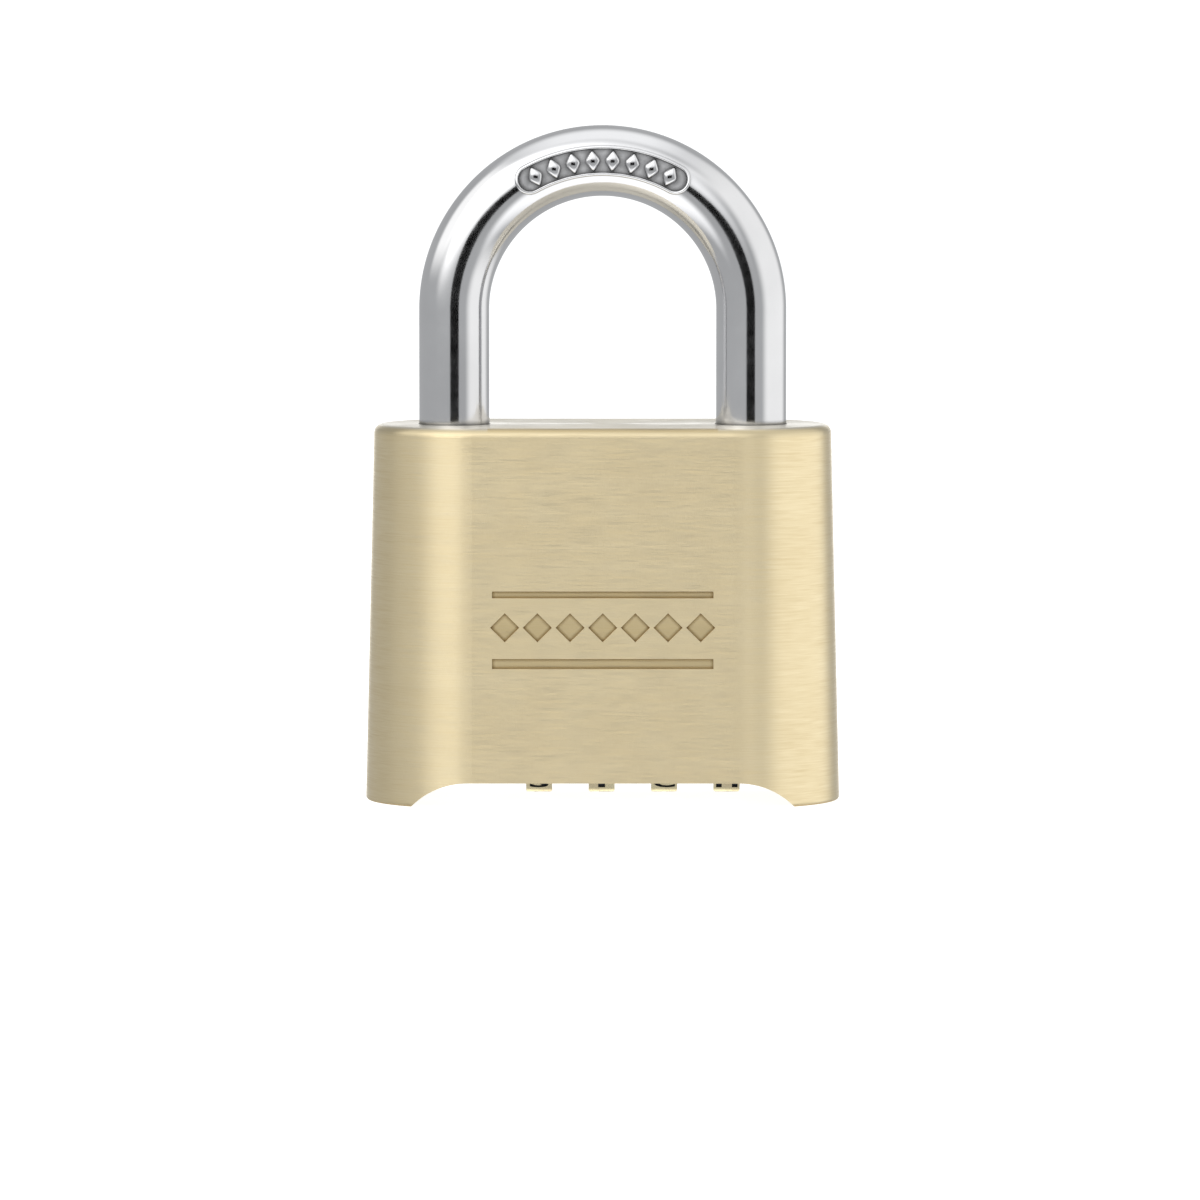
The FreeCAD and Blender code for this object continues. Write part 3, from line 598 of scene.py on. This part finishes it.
def rear_painted_shade(tree, blotch):
    """Painted shade in blotches, strongest just behind the index bar's crest and thinning out towards
    the rear.
    """
    along = place_axes(tree)[1]
    return figures(
        tree,
        "MULTIPLY",
        spread(tree, along, -0.8 * MM, 3.2 * MM),
        spread(tree, along, 3.5 * MM, 7.5 * MM, 1.0, 0.7),
        spread(tree, blotch, 0.1, 1.0, 0.1, 1.0),
    )


def brushed_brass(name, light, dark, rough=(0.3, 0.42), depth=0.012 * MM):
    """Brushed brass with a paler top (painted reflection), a darkened band under the top edge (painted
    shade), tinted engraving, painted shade in corners and a speckled underside.
    """
    material, tree, shader = new_material(name)
    streaks = place_group(tree, streaks_group())
    mottle = place_group(tree, mottle_group(), Grain_Scale=6000.0)
    tone = blend_colours(tree, streaks.outputs["Fine"], dark, light)
    band = spread(tree, streaks.outputs["Broad"], 0.0, 1.0, 0.0, 0.35)
    tone = blend_colours(tree, band, tone, light)
    haze = spread(tree, mottle.outputs["Blotch"], 0.0, 1.0, 0.0, 0.12)
    tone = blend_colours(tree, haze, tone, share_of(dark, (0.9, 0.86, 0.8)))
    # painted shade: the band from about 1 mm under the top is darkened to dull the highlight on the
    # rounded top edge
    edge = below_top(tree, 1.1 * MM, 0.5 * MM)
    tone = blend_colours(tree, edge, tone, share_of(dark, (0.78, 0.8, 0.85)))
    # painted reflection: the flat top is painted a paler, greyer colour that stands in for what it
    # reflects
    level = below_top(tree, 0.25 * MM, 0.02 * MM, 0.8)
    tone = blend_colours(tree, level, tone, (0.80, 0.765, 0.68))
    floor = spread(tree, engraving_mask(tree), 0.0, 1.0, 0.0, 0.55)
    tone = blend_colours(tree, floor, tone, share_of(dark, (0.72, 0.66, 0.5)))
    # painted shade: corners and grooves are darkened by how closed in they are
    corner = spread(tree, crevices(tree, 0.42 * MM), 0.0, 1.0, 0.0, 0.85)
    tone = blend_colours(tree, corner, tone, share_of(dark, (0.34, 0.26, 0.16)))
    under = facing_down(tree)
    beige = blend_colours(tree, mottle.outputs["Grain"], (0.76, 0.59, 0.32), (0.98, 0.80, 0.48))
    tone = blend_colours(tree, under, tone, beige)
    tree.links.new(tone, shader.inputs["Base Color"])
    shader.inputs["Metallic"].default_value = 1.0
    shader.inputs["Anisotropic"].default_value = 0.75
    shader.inputs["Anisotropic Rotation"].default_value = 0.25
    gloss = spread(tree, streaks.outputs["Fine"], 0.0, 1.0, rough[1], rough[0])
    gloss = figure(tree, "MAXIMUM", gloss, figure(tree, "MULTIPLY", under, 0.6))
    tree.links.new(gloss, shader.inputs["Roughness"])
    grain = figure(tree, "MULTIPLY", mottle.outputs["Grain"], under)
    relief = figure(tree, "ADD", streaks.outputs["Height"], grain)
    raise_surface(tree, shader, relief, 0.5, depth)
    return material


def cast_metal(name, colour, rough=(0.34, 0.52), depth=0.03 * MM, reach=0.5 * MM, golden=False):
    """Grained metal with pits and painted shade in its corners; golden adds blotchy painted shade on the
    rear of the plate.
    """
    material, tree, shader = new_material(name)
    mottle = place_group(tree, mottle_group(), Blotch_Scale=260.0, Grain_Scale=4200.0)
    pale = share_of(colour, (1.18, 1.18, 1.18))
    tone = blend_colours(tree, mottle.outputs["Blotch"], colour, pale)
    pits = spread(tree, mottle.outputs["Grain"], 0.0, 0.45, 0.45, 0.0)
    tone = blend_colours(tree, pits, tone, share_of(colour, (0.62, 0.62, 0.62)))
    if golden:
        # painted shade on the rear half of the plate, broken into blotches
        rear_shade = spread(tree, rear_painted_shade(tree, mottle.outputs["Blotch"]), 0.0, 1.0, 0.0, 0.62)
        tone = blend_colours(tree, rear_shade, tone, (0.30, 0.25, 0.15))
    # painted shade: corners, and for the plate the edges next to other pieces, are darkened by occlusion
    corner = spread(tree, crevices(tree, reach, not golden), 0.0, 1.0, 0.0, 0.92)
    tone = blend_colours(tree, corner, tone, share_of(colour, PAINTED_SHADE_SHARE))
    tree.links.new(tone, shader.inputs["Base Color"])
    shader.inputs["Metallic"].default_value = 1.0
    gloss = spread(tree, mottle.outputs["Grain"], 0.0, 1.0, rough[1], rough[0])
    tree.links.new(gloss, shader.inputs["Roughness"])
    raise_surface(tree, shader, mottle.outputs["Grain"], 0.6, depth)
    return material


def plated_metal(name, colour, rough=(0.10, 0.14), depth=0.006 * MM):
    """Mirror plating with a faint waviness and near-black painted shade where it meets other parts."""
    material, tree, shader = new_material(name)
    mottle = place_group(tree, mottle_group(), Blotch_Scale=90.0, Grain_Scale=900.0)
    worn = share_of(colour, (0.93, 0.93, 0.93))
    tone = blend_colours(tree, mottle.outputs["Blotch"], colour, worn)
    # painted shade: near black where the plating closes in against other pieces
    corner = spread(tree, crevices(tree, 0.6 * MM, own=False), 0.0, 1.0, 0.0, 0.9)
    tone = blend_colours(tree, corner, tone, (0.03, 0.03, 0.03))
    tree.links.new(tone, shader.inputs["Base Color"])
    shader.inputs["Metallic"].default_value = 1.0
    gloss = spread(tree, mottle.outputs["Grain"], 0.0, 1.0, rough[0], rough[1])
    tree.links.new(gloss, shader.inputs["Roughness"])
    raise_surface(tree, shader, mottle.outputs["Grain"], 0.12, depth)
    return material


def soft_black(name, colour, rough, depth):
    """Dull black with a fine grain, for rubber and paint."""
    material, tree, shader = new_material(name)
    mottle = place_group(tree, mottle_group(), Blotch_Scale=700.0, Grain_Scale=5000.0)
    pale = tuple(channel * 2.2 + 0.006 for channel in colour)
    tone = blend_colours(tree, mottle.outputs["Grain"], colour, pale)
    tree.links.new(tone, shader.inputs["Base Color"])
    gloss = spread(tree, mottle.outputs["Blotch"], 0.0, 1.0, rough - 0.08, rough + 0.08)
    tree.links.new(gloss, shader.inputs["Roughness"])
    raise_surface(tree, shader, mottle.outputs["Grain"], 0.5, depth)
    return material


# ---- shackle ----
def bar_mesh(sizes):
    """Round bar: spun bend, drawn-out legs, heel neck and bevelled ends."""
    shape = bmesh.new()
    radius = sizes.bar_radius
    start = Matrix.Translation((LEFT_LEG, 0, BEND_HEIGHT))
    bmesh.ops.create_circle(shape, segments=72, radius=radius, matrix=start)
    heel = list(shape.edges)
    turned = bmesh.ops.spin(
        shape,
        geom=heel,
        cent=(0, 0, BEND_HEIGHT),
        axis=(0, 1, 0),
        angle=math.pi,
        steps=120,
        use_duplicate=False,
    )
    toe = [item for item in turned["geom_last"] if isinstance(item, bmesh.types.BMEdge)]
    neck = NECK_RADIUS / radius
    tip = 1 - END_BEVEL / radius
    toe_axis = (RIGHT_LEG, 0, 0)
    toe = pull_ring(shape, toe, (0, 0, TOE_END + END_BEVEL - BEND_HEIGHT))
    toe = pull_ring(shape, toe, (0, 0, -END_BEVEL), tip, toe_axis)
    bmesh.ops.holes_fill(shape, edges=toe, sides=0)
    foot = NECK_TOP - NECK_LENGTH - END_BEVEL - BAR_LOW.z
    for drop, scale in (
        (NECK_TOP - BEND_HEIGHT, 1.0),
        (0, neck),
        (-NECK_LENGTH, 1.0),
        (0, 1 / neck),
        (-foot, 1.0),
        (-END_BEVEL, tip),
        (0, SEAT_RADIUS / (radius - END_BEVEL)),
        (SEAT_DEPTH, 1.0),
    ):
        heel = pull_ring(shape, heel, (0, 0, drop), scale, (LEFT_LEG, 0, 0))
    bmesh.ops.holes_fill(shape, edges=heel, sides=0)
    close_up(shape)
    return to_mesh(shape, "bar", 40)


def spun_slot(shape, first, sizes, steps=28):
    """Spin a start shape once round the outline of the badge."""
    half = sizes.badge_sweep / 2
    middle = Vector((0, 0, BEND_HEIGHT))
    ends = [
        middle + Vector((side * math.sin(half), 0, math.cos(half))) * BADGE_RADIUS
        for side in (-1, 1)
    ]
    path = (
        (middle, 2 * half, steps),
        (ends[1], math.pi, steps // 2),
        (middle, -2 * half, steps),
        (ends[0], math.pi, steps // 2),
    )
    ring = first
    for centre, angle, count in path:
        made = bmesh.ops.spin(
            shape, geom=ring, cent=centre, axis=(0, 1, 0), angle=angle, steps=count
        )
        ring = [item for item in made["geom_last"] if isinstance(item, bmesh.types.BMEdge)]
    close_up(shape)


def badge_start(sizes):
    """Where the outline of the badge starts, on its outer side."""
    half = sizes.badge_sweep / 2
    reach = BADGE_RADIUS + sizes.badge_half_width
    return Vector((-math.sin(half) * reach, 0, BEND_HEIGHT + math.cos(half) * reach)), half


def badge_cutter(sizes):
    """Slot-shaped block standing in front of the badge's floor."""
    shape = bmesh.new()
    start, _ = badge_start(sizes)
    front = Vector((start.x, -2 * sizes.bar_radius, start.z))
    back = Vector((start.x, -(sizes.bar_radius - sizes.badge_depth), start.z))
    edge = shape.edges.new([shape.verts.new(front), shape.verts.new(back)])
    spun_slot(shape, [edge], sizes)
    rims = [item for item in shape.edges if item.is_boundary]
    bmesh.ops.holes_fill(shape, edges=rims, sides=0)
    close_up(shape)
    return to_mesh(shape, "badge_cutter")


def wrap_on_bar(shape, sizes, lift=0.0):
    """Press a flat ornament of the badge onto the round front of the bar."""
    for point in shape.verts:
        offset = math.hypot(point.co.x, point.co.z - BEND_HEIGHT) - BADGE_RADIUS
        reach = max(sizes.bar_radius**2 - offset**2, 0.0)
        point.co.y -= math.sqrt(reach) + lift


def badge_bead(sizes):
    """Raised bead round the badge."""
    shape = bmesh.new()
    start, half = badge_start(sizes)
    turn = Matrix.Translation(start) @ Matrix.Rotation(-half, 4, "Y")
    turn = turn @ Matrix.Rotation(math.pi / 2, 4, "Y")
    bmesh.ops.create_circle(shape, segments=12, radius=sizes.bead_radius, matrix=turn)
    spun_slot(shape, list(shape.edges), sizes, 48)
    wrap_on_bar(shape, sizes, -0.3 * sizes.bead_radius)
    return to_mesh(shape, "bead")


def badge_studs(sizes):
    """Row of lozenge studs in the badge, each a bevelled four-sided prism."""
    shape = bmesh.new()
    for number in range(sizes.studs):
        share = number / (sizes.studs - 1) - 0.5
        swing = share * sizes.badge_sweep * 0.92
        spot = Matrix.Translation((0, 0, BEND_HEIGHT)) @ Matrix.Rotation(swing, 4, "Y")
        spot = spot @ Matrix.Translation((0, 0.1 * MM, BADGE_RADIUS))
        spot = spot @ Matrix.Diagonal((STUD_WIDTH_SHARE, 1.0, 1.0, 1.0))
        spot = spot @ Matrix.Rotation(math.pi / 2, 4, "X")
        made = bmesh.ops.create_cone(
            shape,
            cap_ends=True,
            segments=4,
            radius1=STUD_RADIUS,
            radius2=STUD_RADIUS,
            depth=STUD_DEPTH,
            matrix=spot,
        )
        corners = made["verts"]
        edges = {edge for corner in corners for edge in corner.link_edges}
        bmesh.ops.bevel(
            shape,
            geom=list(edges),
            offset=STUD_BEVEL,
            segments=2,
            profile=0.5,
            affect="EDGES",
            material=-1,
        )
    bmesh.ops.recalc_face_normals(shape, faces=shape.faces)
    wrap_on_bar(shape, sizes, -0.18 * MM)
    return to_mesh(shape, "studs", 50)


class PADLOCK_OT_shackle(bpy.types.Operator):
    """Make the plated shackle with its badge"""

    bl_idname = "padlock.shackle"
    bl_label = "Shackle"

    def execute(self, context):
        sizes = settings("shackle")
        colours = settings("finish")
        plating = plated_metal("bright_plating", tuple(colours.plating))
        satin = plated_metal("satin_plating", tuple(colours.plating), (0.3, 0.42), 0.03 * MM)
        blank = bar_mesh(sizes)
        blank.materials.append(plating)
        cutter = badge_cutter(sizes)
        cutter.materials.append(satin)
        mesh = cut_away(blank, cutter, "shackle")
        smooth_faces(mesh, 35)
        bar = add_piece("shackle_bar", mesh, "shackle_body")
        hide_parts("shackle")
        for name, part in (("badge_bead", badge_bead(sizes)), ("badge_studs", badge_studs(sizes))):
            add_piece(name, part, "shackle_body", (plating,))
        return {"FINISHED"}


# ---- dial wheels ----
def wheel_mesh(sizes):
    """Wheel turned about the X axis, its middle at the origin."""
    shape = bmesh.new()
    half = sizes.half_width
    profile = (
        (-half, CAM_ROOM),
        (SPLINE_START, CAM_ROOM),
        (SPLINE_START, SPLINE_BORE),
        (half, SPLINE_BORE),
        (half, sizes.radius - RIM_EASE),
        (half - RIM_MIDDLE[0], sizes.radius - RIM_MIDDLE[1]),
        (half - RIM_EASE, sizes.radius),
        (-half + RIM_EASE, sizes.radius),
        (-half + RIM_MIDDLE[0], sizes.radius - RIM_MIDDLE[1]),
        (-half, sizes.radius - RIM_EASE),
    )
    points = [shape.verts.new((along, 0, -out)) for along, out in profile]
    for number, point in enumerate(points):
        shape.edges.new((point, points[(number + 1) % len(points)]))
    bmesh.ops.spin(
        shape,
        geom=list(shape.verts) + list(shape.edges),
        cent=(0, 0, 0),
        axis=(1, 0, 0),
        angle=2 * math.pi,
        steps=160,
        use_merge=True,
    )
    close_up(shape)
    return to_mesh(shape, "wheel")


def groove_cutters(shape, sizes):
    """Round bars that cut the ten finger grooves and the ten splines of the bore."""
    past = 2 * sizes.half_width
    for radius, out, half_turn, left, right in (
        (GROOVE_RADIUS, GROOVE_REACH, 0.5, -past, past),
        (SPLINE_RADIUS, SPLINE_BORE, 0.0, SPLINE_START, past),
    ):
        for number in range(PLACES):
            angle = (number + half_turn) * PLACE_ANGLE
            spot = Matrix.Rotation(angle, 4, "X")
            spot = spot @ Matrix.Translation(((left + right) / 2, 0, -out))
            spot = spot @ Matrix.Rotation(math.pi / 2, 4, "Y")
            bmesh.ops.create_cone(
                shape,
                cap_ends=True,
                segments=40,
                radius1=radius,
                radius2=radius,
                depth=right - left,
                matrix=spot,
            )


def character_mesh(letter, sizes):
    """One bold capital as a solid, centred, standing in the XY plane."""
    curve = bpy.data.curves.new("character", "FONT")
    curve.body = letter
    curve.size = sizes.character_height / 0.7
    curve.offset = sizes.character_weight
    curve.extrude = 1.0 * MM
    curve.resolution_u = 4
    thing = bpy.data.objects.new("character", curve)
    bpy.context.scene.collection.objects.link(thing)
    graph = bpy.context.evaluated_depsgraph_get()
    mesh = bpy.data.meshes.new_from_object(thing.evaluated_get(graph))
    bpy.data.objects.remove(thing)
    bpy.data.curves.remove(curve)
    return mesh


def character_cutters(shape, sizes, letters):
    """Ten characters standing out of the rim of a wheel, upright towards the front."""
    for number, letter in enumerate(letters):
        mesh = character_mesh(letter, sizes)
        low = Vector([min(point.co[axis] for point in mesh.vertices) for axis in range(3)])
        high = Vector([max(point.co[axis] for point in mesh.vertices) for axis in range(3)])
        wide = high.x - low.x
        tall = high.y - low.y
        stretch = min(1.22, 2.4 * MM / wide) if wide > 1.3 * MM else 1.2
        spot = Matrix.Rotation(-number * PLACE_ANGLE, 4, "X")
        spot = spot @ Matrix.Translation((0, 0, -sizes.radius + sizes.character_depth - 1.0 * MM))
        # looked at from below, the top of a character points to the front
        spot = spot @ Matrix(((1, 0, 0, 0), (0, -1, 0, 0), (0, 0, -1, 0), (0, 0, 0, 1)))
        spot = spot @ Matrix.Diagonal((stretch, sizes.character_height / tall, 1.0, 1.0))
        spot = spot @ Matrix.Translation(-(low + high) / 2)
        mesh.transform(spot)
        shape.from_mesh(mesh)
        bpy.data.meshes.remove(mesh)


def dial_mesh(sizes, letters, brass, paint):
    """Wheel with grooves, splines and painted characters."""
    grooves = bmesh.new()
    groove_cutters(grooves, sizes)
    groove_cutter = to_mesh(grooves, "grooves")
    groove_cutter.materials.append(brass)
    blank = wheel_mesh(sizes)
    blank.materials.append(brass)
    grooved = cut_away(blank, groove_cutter, "grooves")
    characters = bmesh.new()
    character_cutters(characters, sizes, letters)
    bmesh.ops.remove_doubles(characters, verts=characters.verts, dist=0.001 * MM)
    bmesh.ops.recalc_face_normals(characters, faces=characters.faces)
    character_cutter = to_mesh(characters, "characters")
    character_cutter.materials.clear()
    character_cutter.materials.append(paint)
    wheel = cut_away(grooved, character_cutter, "characters")
    shape = bmesh.new()
    shape.from_mesh(wheel)
    bmesh.ops.remove_doubles(shape, verts=shape.verts, dist=0.001 * MM)
    bmesh.ops.dissolve_degenerate(shape, edges=shape.edges, dist=0.001 * MM)
    volume = shape.calc_volume()
    shape.to_mesh(wheel)
    shape.free()
    box = math.pi * sizes.radius**2 * 2 * sizes.half_width
    if not 0.4 * box < volume < 0.6 * box:
        raise RuntimeError(f"wheel with {letters} came out wrong: {volume / box:.2f} of its disc")
    return wheel


class PADLOCK_OT_dials(bpy.types.Operator):
    """Make the four dial wheels with engraved and painted characters"""

    bl_idname = "padlock.dials"
    bl_label = "Dial Wheels"

    def execute(self, context):
        sizes = settings("dials")
        colours = settings("finish")
        brass = cast_metal("turned_brass", tuple(colours.wheel), (0.22, 0.36), 0.008 * MM)
        paint = soft_black("character_paint", tuple(colours.paint), 0.32, 0.02 * MM)
        for number in range(WHEELS):
            mesh = dial_mesh(sizes, CHARACTERS[number], brass, paint)
            mesh.transform(Matrix.Translation((WHEEL_X[number], 0, WHEEL_HEIGHT)))
            smooth_faces(mesh, 32)
            label = number + 1
            wheel = add_piece(f"dial_wheel_{label}", mesh, f"dial_{label}")
            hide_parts(f"dial_ring_{label}")
        return {"FINISHED"}


# ---- parts that keep their CAD shape ----
class PADLOCK_OT_case(bpy.types.Operator):
    """Finish the case and its dowels in brushed brass"""

    bl_idname = "padlock.case"
    bl_label = "Case"

    def execute(self, context):
        colours = settings("finish")
        brass = brushed_brass("brushed_case", tuple(colours.case_light), tuple(colours.case_dark))
        for node in ("lock_body", "retaining_pins"):
            finish_cad(node, brass)
        return {"FINISHED"}


class PADLOCK_OT_plate(bpy.types.Operator):
    """Finish the carrier with its golden plate, the cover and the seal"""

    bl_idname = "padlock.plate"
    bl_label = "Plate and Seal"

    def execute(self, context):
        colours = settings("finish")
        gold = tuple(colours.plate)
        gold = cast_metal("golden_casting", gold, (0.4, 0.58), reach=1.0 * MM, golden=True)
        for node in ("dial_plate", "carrier_cap"):
            finish_cad(node, gold)
        finish_cad("plate_gasket", soft_black("seal_rubber", (0.01, 0.01, 0.011), 0.5, 0.03 * MM))
        return {"FINISHED"}


class PADLOCK_OT_works(bpy.types.Operator):
    """Finish the works inside the case"""

    bl_idname = "padlock.works"
    bl_label = "Works"

    def execute(self, context):
        colours = settings("finish")
        steel = cast_metal("bare_steel", tuple(colours.steel), (0.3, 0.45), 0.01 * MM)
        pale = cast_metal("cam_brass", tuple(colours.wheel), (0.3, 0.45), 0.01 * MM)
        for node in (
            "spindle",
            "spindle_clips",
            "spindle_spring",
            "locking_bar",
            "shackle_spring",
            "detent_comb",
            "change_plunger",
            "cap_screws",
        ):
            finish_cad(node, steel)
        for number in range(WHEELS):
            finish_cad(f"dial_sleeve_{number + 1}", pale)
        return {"FINISHED"}


# ---- studio ----
def look_at(spot, target):
    """The turn that points a lamp or camera from one place at another."""
    return (Vector(target) - Vector(spot)).to_track_quat("-Z", "Y").to_euler()


def bearing(azimuth, elevation, distance):
    """Point seen from the middle of the padlock; azimuth 0 is the front, positive to the right."""
    side = math.radians(azimuth)
    rise = math.radians(elevation)
    way = Vector((math.sin(side) * math.cos(rise), -math.cos(side) * math.cos(rise), math.sin(rise)))
    return STUDIO_MIDDLE + way * distance


def feather(lamp, edge):
    """Let a light fade out towards its rim."""
    lamp.use_nodes = True
    tree = lamp.node_tree
    spot = tree.nodes.new("ShaderNodeNewGeometry").outputs["Parametric"]
    parts = tree.nodes.new("ShaderNodeSeparateXYZ")
    tree.links.new(spot, parts.inputs["Vector"])
    fade = 1.0
    for label in ("X", "Y"):
        inward = figure(tree, "PINGPONG", parts.outputs[label], 0.5)
        rise = tree.nodes.new("ShaderNodeMapRange")
        rise.interpolation_type = "SMOOTHSTEP"
        rise.inputs["From Max"].default_value = edge
        tree.links.new(inward, rise.inputs["Value"])
        fade = figure(tree, "MULTIPLY", rise.outputs["Result"], fade)
    tree.links.new(fade, tree.nodes["Emission"].inputs["Strength"])


def softbox(name, spot, size, radiance, tone=(1.0, 1.0, 1.0), edge=0.3):
    """Rectangular light facing the padlock, as bright as its radiance says."""
    lamp = bpy.data.lights.new(name, "AREA")
    lamp.shape = "RECTANGLE"
    lamp.size, lamp.size_y = size
    lamp.energy = math.pi * size[0] * size[1] * radiance
    lamp.color = tone
    feather(lamp, edge)
    thing = bpy.data.objects.new(name, lamp)
    thing.location = spot
    thing.rotation_euler = look_at(spot, STUDIO_MIDDLE)
    thing.visible_camera = False
    bpy.context.scene.collection.objects.link(thing)
    return thing


def floor_mesh():
    """Large level floor."""
    shape = bmesh.new()
    bmesh.ops.create_grid(shape, x_segments=1, y_segments=1, size=12.0)
    return to_mesh(shape, "studio_floor")


def paper_material():
    """White paper that a camera under it looks through."""
    material, tree, shader = new_material("white_paper")
    place = tree.nodes.new("ShaderNodeTexCoord").outputs["Object"]
    grain = noise_node(tree, place, 40.0, 2.0)
    tone = blend_colours(tree, grain, (0.5, 0.5, 0.5), (0.54, 0.54, 0.54))
    tree.links.new(tone, shader.inputs["Base Color"])
    shader.inputs["Roughness"].default_value = 0.9
    shader.inputs["Specular IOR Level"].default_value = 0.0
    shader.inputs["Emission Color"].default_value = (1, 1, 1, 1)
    shader.inputs["Emission Strength"].default_value = 0.9
    clear = tree.nodes.new("ShaderNodeBsdfTransparent")
    side = tree.nodes.new("ShaderNodeNewGeometry")
    choice = tree.nodes.new("ShaderNodeMixShader")
    tree.links.new(side.outputs["Backfacing"], choice.inputs["Fac"])
    tree.links.new(shader.outputs["BSDF"], choice.inputs[1])
    tree.links.new(clear.outputs["BSDF"], choice.inputs[2])
    tree.links.new(choice.outputs["Shader"], tree.nodes["Material Output"].inputs["Surface"])
    return material


def card(name, corner, size):
    """Upright black card that only shows in reflections."""
    shape = bmesh.new()
    made = bmesh.ops.create_grid(shape, x_segments=1, y_segments=1, size=0.5)
    turn = Matrix.Translation(corner) @ Matrix.Rotation(math.pi / 2, 4, "X")
    turn = turn @ Matrix.Diagonal((size[0], size[1], 1.0, 1.0))
    bmesh.ops.transform(shape, matrix=turn, verts=made["verts"])
    black, tree, shader = new_material(name)
    shader.inputs["Base Color"].default_value = (0.004, 0.004, 0.004, 1)
    shader.inputs["Roughness"].default_value = 1.0
    shader.inputs["Specular IOR Level"].default_value = 0.0
    mesh = to_mesh(shape, name)
    mesh.materials.append(black)
    thing = bpy.data.objects.new(name, mesh)
    bpy.context.scene.collection.objects.link(thing)
    thing.visible_camera = False
    thing.visible_diffuse = False
    thing.visible_shadow = False
    return thing


def studio_world(level):
    """Even grey surroundings, white where the camera looks straight at them."""
    world = bpy.data.worlds.new("studio")
    world.use_nodes = True
    tree = world.node_tree
    even = tree.nodes["Background"]
    even.inputs["Color"].default_value = (0.97, 0.985, 1.0, 1)
    even.inputs["Strength"].default_value = level
    white = tree.nodes.new("ShaderNodeBackground")
    white.inputs["Color"].default_value = (1, 1, 1, 1)
    path = tree.nodes.new("ShaderNodeLightPath")
    choice = tree.nodes.new("ShaderNodeMixShader")
    tree.links.new(path.outputs["Is Camera Ray"], choice.inputs["Fac"])
    tree.links.new(even.outputs["Background"], choice.inputs[1])
    tree.links.new(white.outputs["Background"], choice.inputs[2])
    tree.links.new(choice.outputs["Shader"], tree.nodes["World Output"].inputs["Surface"])
    return world


class PADLOCK_OT_stage(bpy.types.Operator):
    """Set up the pale floor, the soft lights, the dark card and the camera"""

    bl_idname = "padlock.stage"
    bl_label = "Studio"

    def execute(self, context):
        studio = settings("studio")
        scene = context.scene
        for name in ("Cube", "Light", "Camera"):
            if name in bpy.data.objects:
                bpy.data.objects.remove(bpy.data.objects[name])
        scene.view_settings.view_transform = "Standard"
        mesh = floor_mesh()
        mesh.materials.append(paper_material())
        floor = bpy.data.objects.new("studio_floor", mesh)
        scene.collection.objects.link(floor)
        floor.visible_glossy = False
        floor.visible_diffuse = False
        floor.visible_shadow = False
        scene.world = studio_world(studio.surroundings)
        card("dark_card", (-0.003, -0.55, 0.045), (0.27, 0.15))

        warm = (1.0, 0.99, 0.97)
        softbox("overhead", Vector((0.0, 0.05, 0.85)), (1.7, 1.3), 0.65, edge=0.4)
        softbox("front_top", bearing(-14, 38, 0.9), (1.9, 1.3), 0.85)
        softbox("left_front", bearing(-36, 34, 0.5), (0.7, 0.7), 0.75, warm)
        softbox("left_side", bearing(-84, 34, 0.8), (0.8, 0.8), 0.85, warm)
        softbox("right_side", bearing(86, 12, 0.6), (1.6, 1.5), 0.62, warm)
        softbox("behind", bearing(180, 4, 1.0), (1.0, 0.6), 0.9)
        softbox("from_below", Vector((0.0, -0.34, -0.42)), (1.4, 0.8), 0.95)

        lens = bpy.data.cameras.new("camera")
        lens.lens = studio.lens
        lens.sensor_width = 36.0
        lens.clip_end = 20.0
        camera = bpy.data.objects.new("camera", lens)
        camera.location = (studio.aim_side, -studio.distance, studio.height)
        camera.rotation_euler = look_at(camera.location, (studio.aim_side, 0, studio.aim_height))
        scene.collection.objects.link(camera)
        scene.camera = camera
        return {"FINISHED"}


# ---- panel and start ----
class PADLOCK_PT_panel(bpy.types.Panel):
    """Buttons and settings of the padlock"""

    bl_label = "Combination Padlock"
    bl_idname = "PADLOCK_PT_panel"
    bl_space_type = "VIEW_3D"
    bl_region_type = "UI"
    bl_category = "Padlock"

    def draw(self, context):
        for name in GROUPS:
            box = self.layout.box()
            box.label(text=name.title())
            group = settings(name)
            for prop in group.bl_rna.properties:
                if prop.identifier not in ("name", "rna_type"):
                    box.prop(group, prop.identifier)
        for operator in OPERATORS:
            self.layout.operator(operator.bl_idname)


GROUPS = {
    "shackle": PADLOCK_PG_shackle,
    "dials": PADLOCK_PG_dials,
    "finish": PADLOCK_PG_finish,
    "studio": PADLOCK_PG_studio,
}
OPERATORS = (
    PADLOCK_OT_stage,
    PADLOCK_OT_case,
    PADLOCK_OT_shackle,
    PADLOCK_OT_dials,
    PADLOCK_OT_plate,
    PADLOCK_OT_works,
)


def register():
    for made in (*GROUPS.values(), *OPERATORS, PADLOCK_PT_panel):
        bpy.utils.register_class(made)
    for name, group in GROUPS.items():
        setattr(bpy.types.Scene, f"padlock_{name}", bpy.props.PointerProperty(type=group))


def unregister():
    for name in GROUPS:
        delattr(bpy.types.Scene, f"padlock_{name}")
    for made in reversed((*GROUPS.values(), *OPERATORS, PADLOCK_PT_panel)):
        bpy.utils.unregister_class(made)


def main():
    register()
    for operator in OPERATORS:
        area, name = operator.bl_idname.split(".")
        getattr(getattr(bpy.ops, area), name)()


if __name__ == "__main__":
    main()
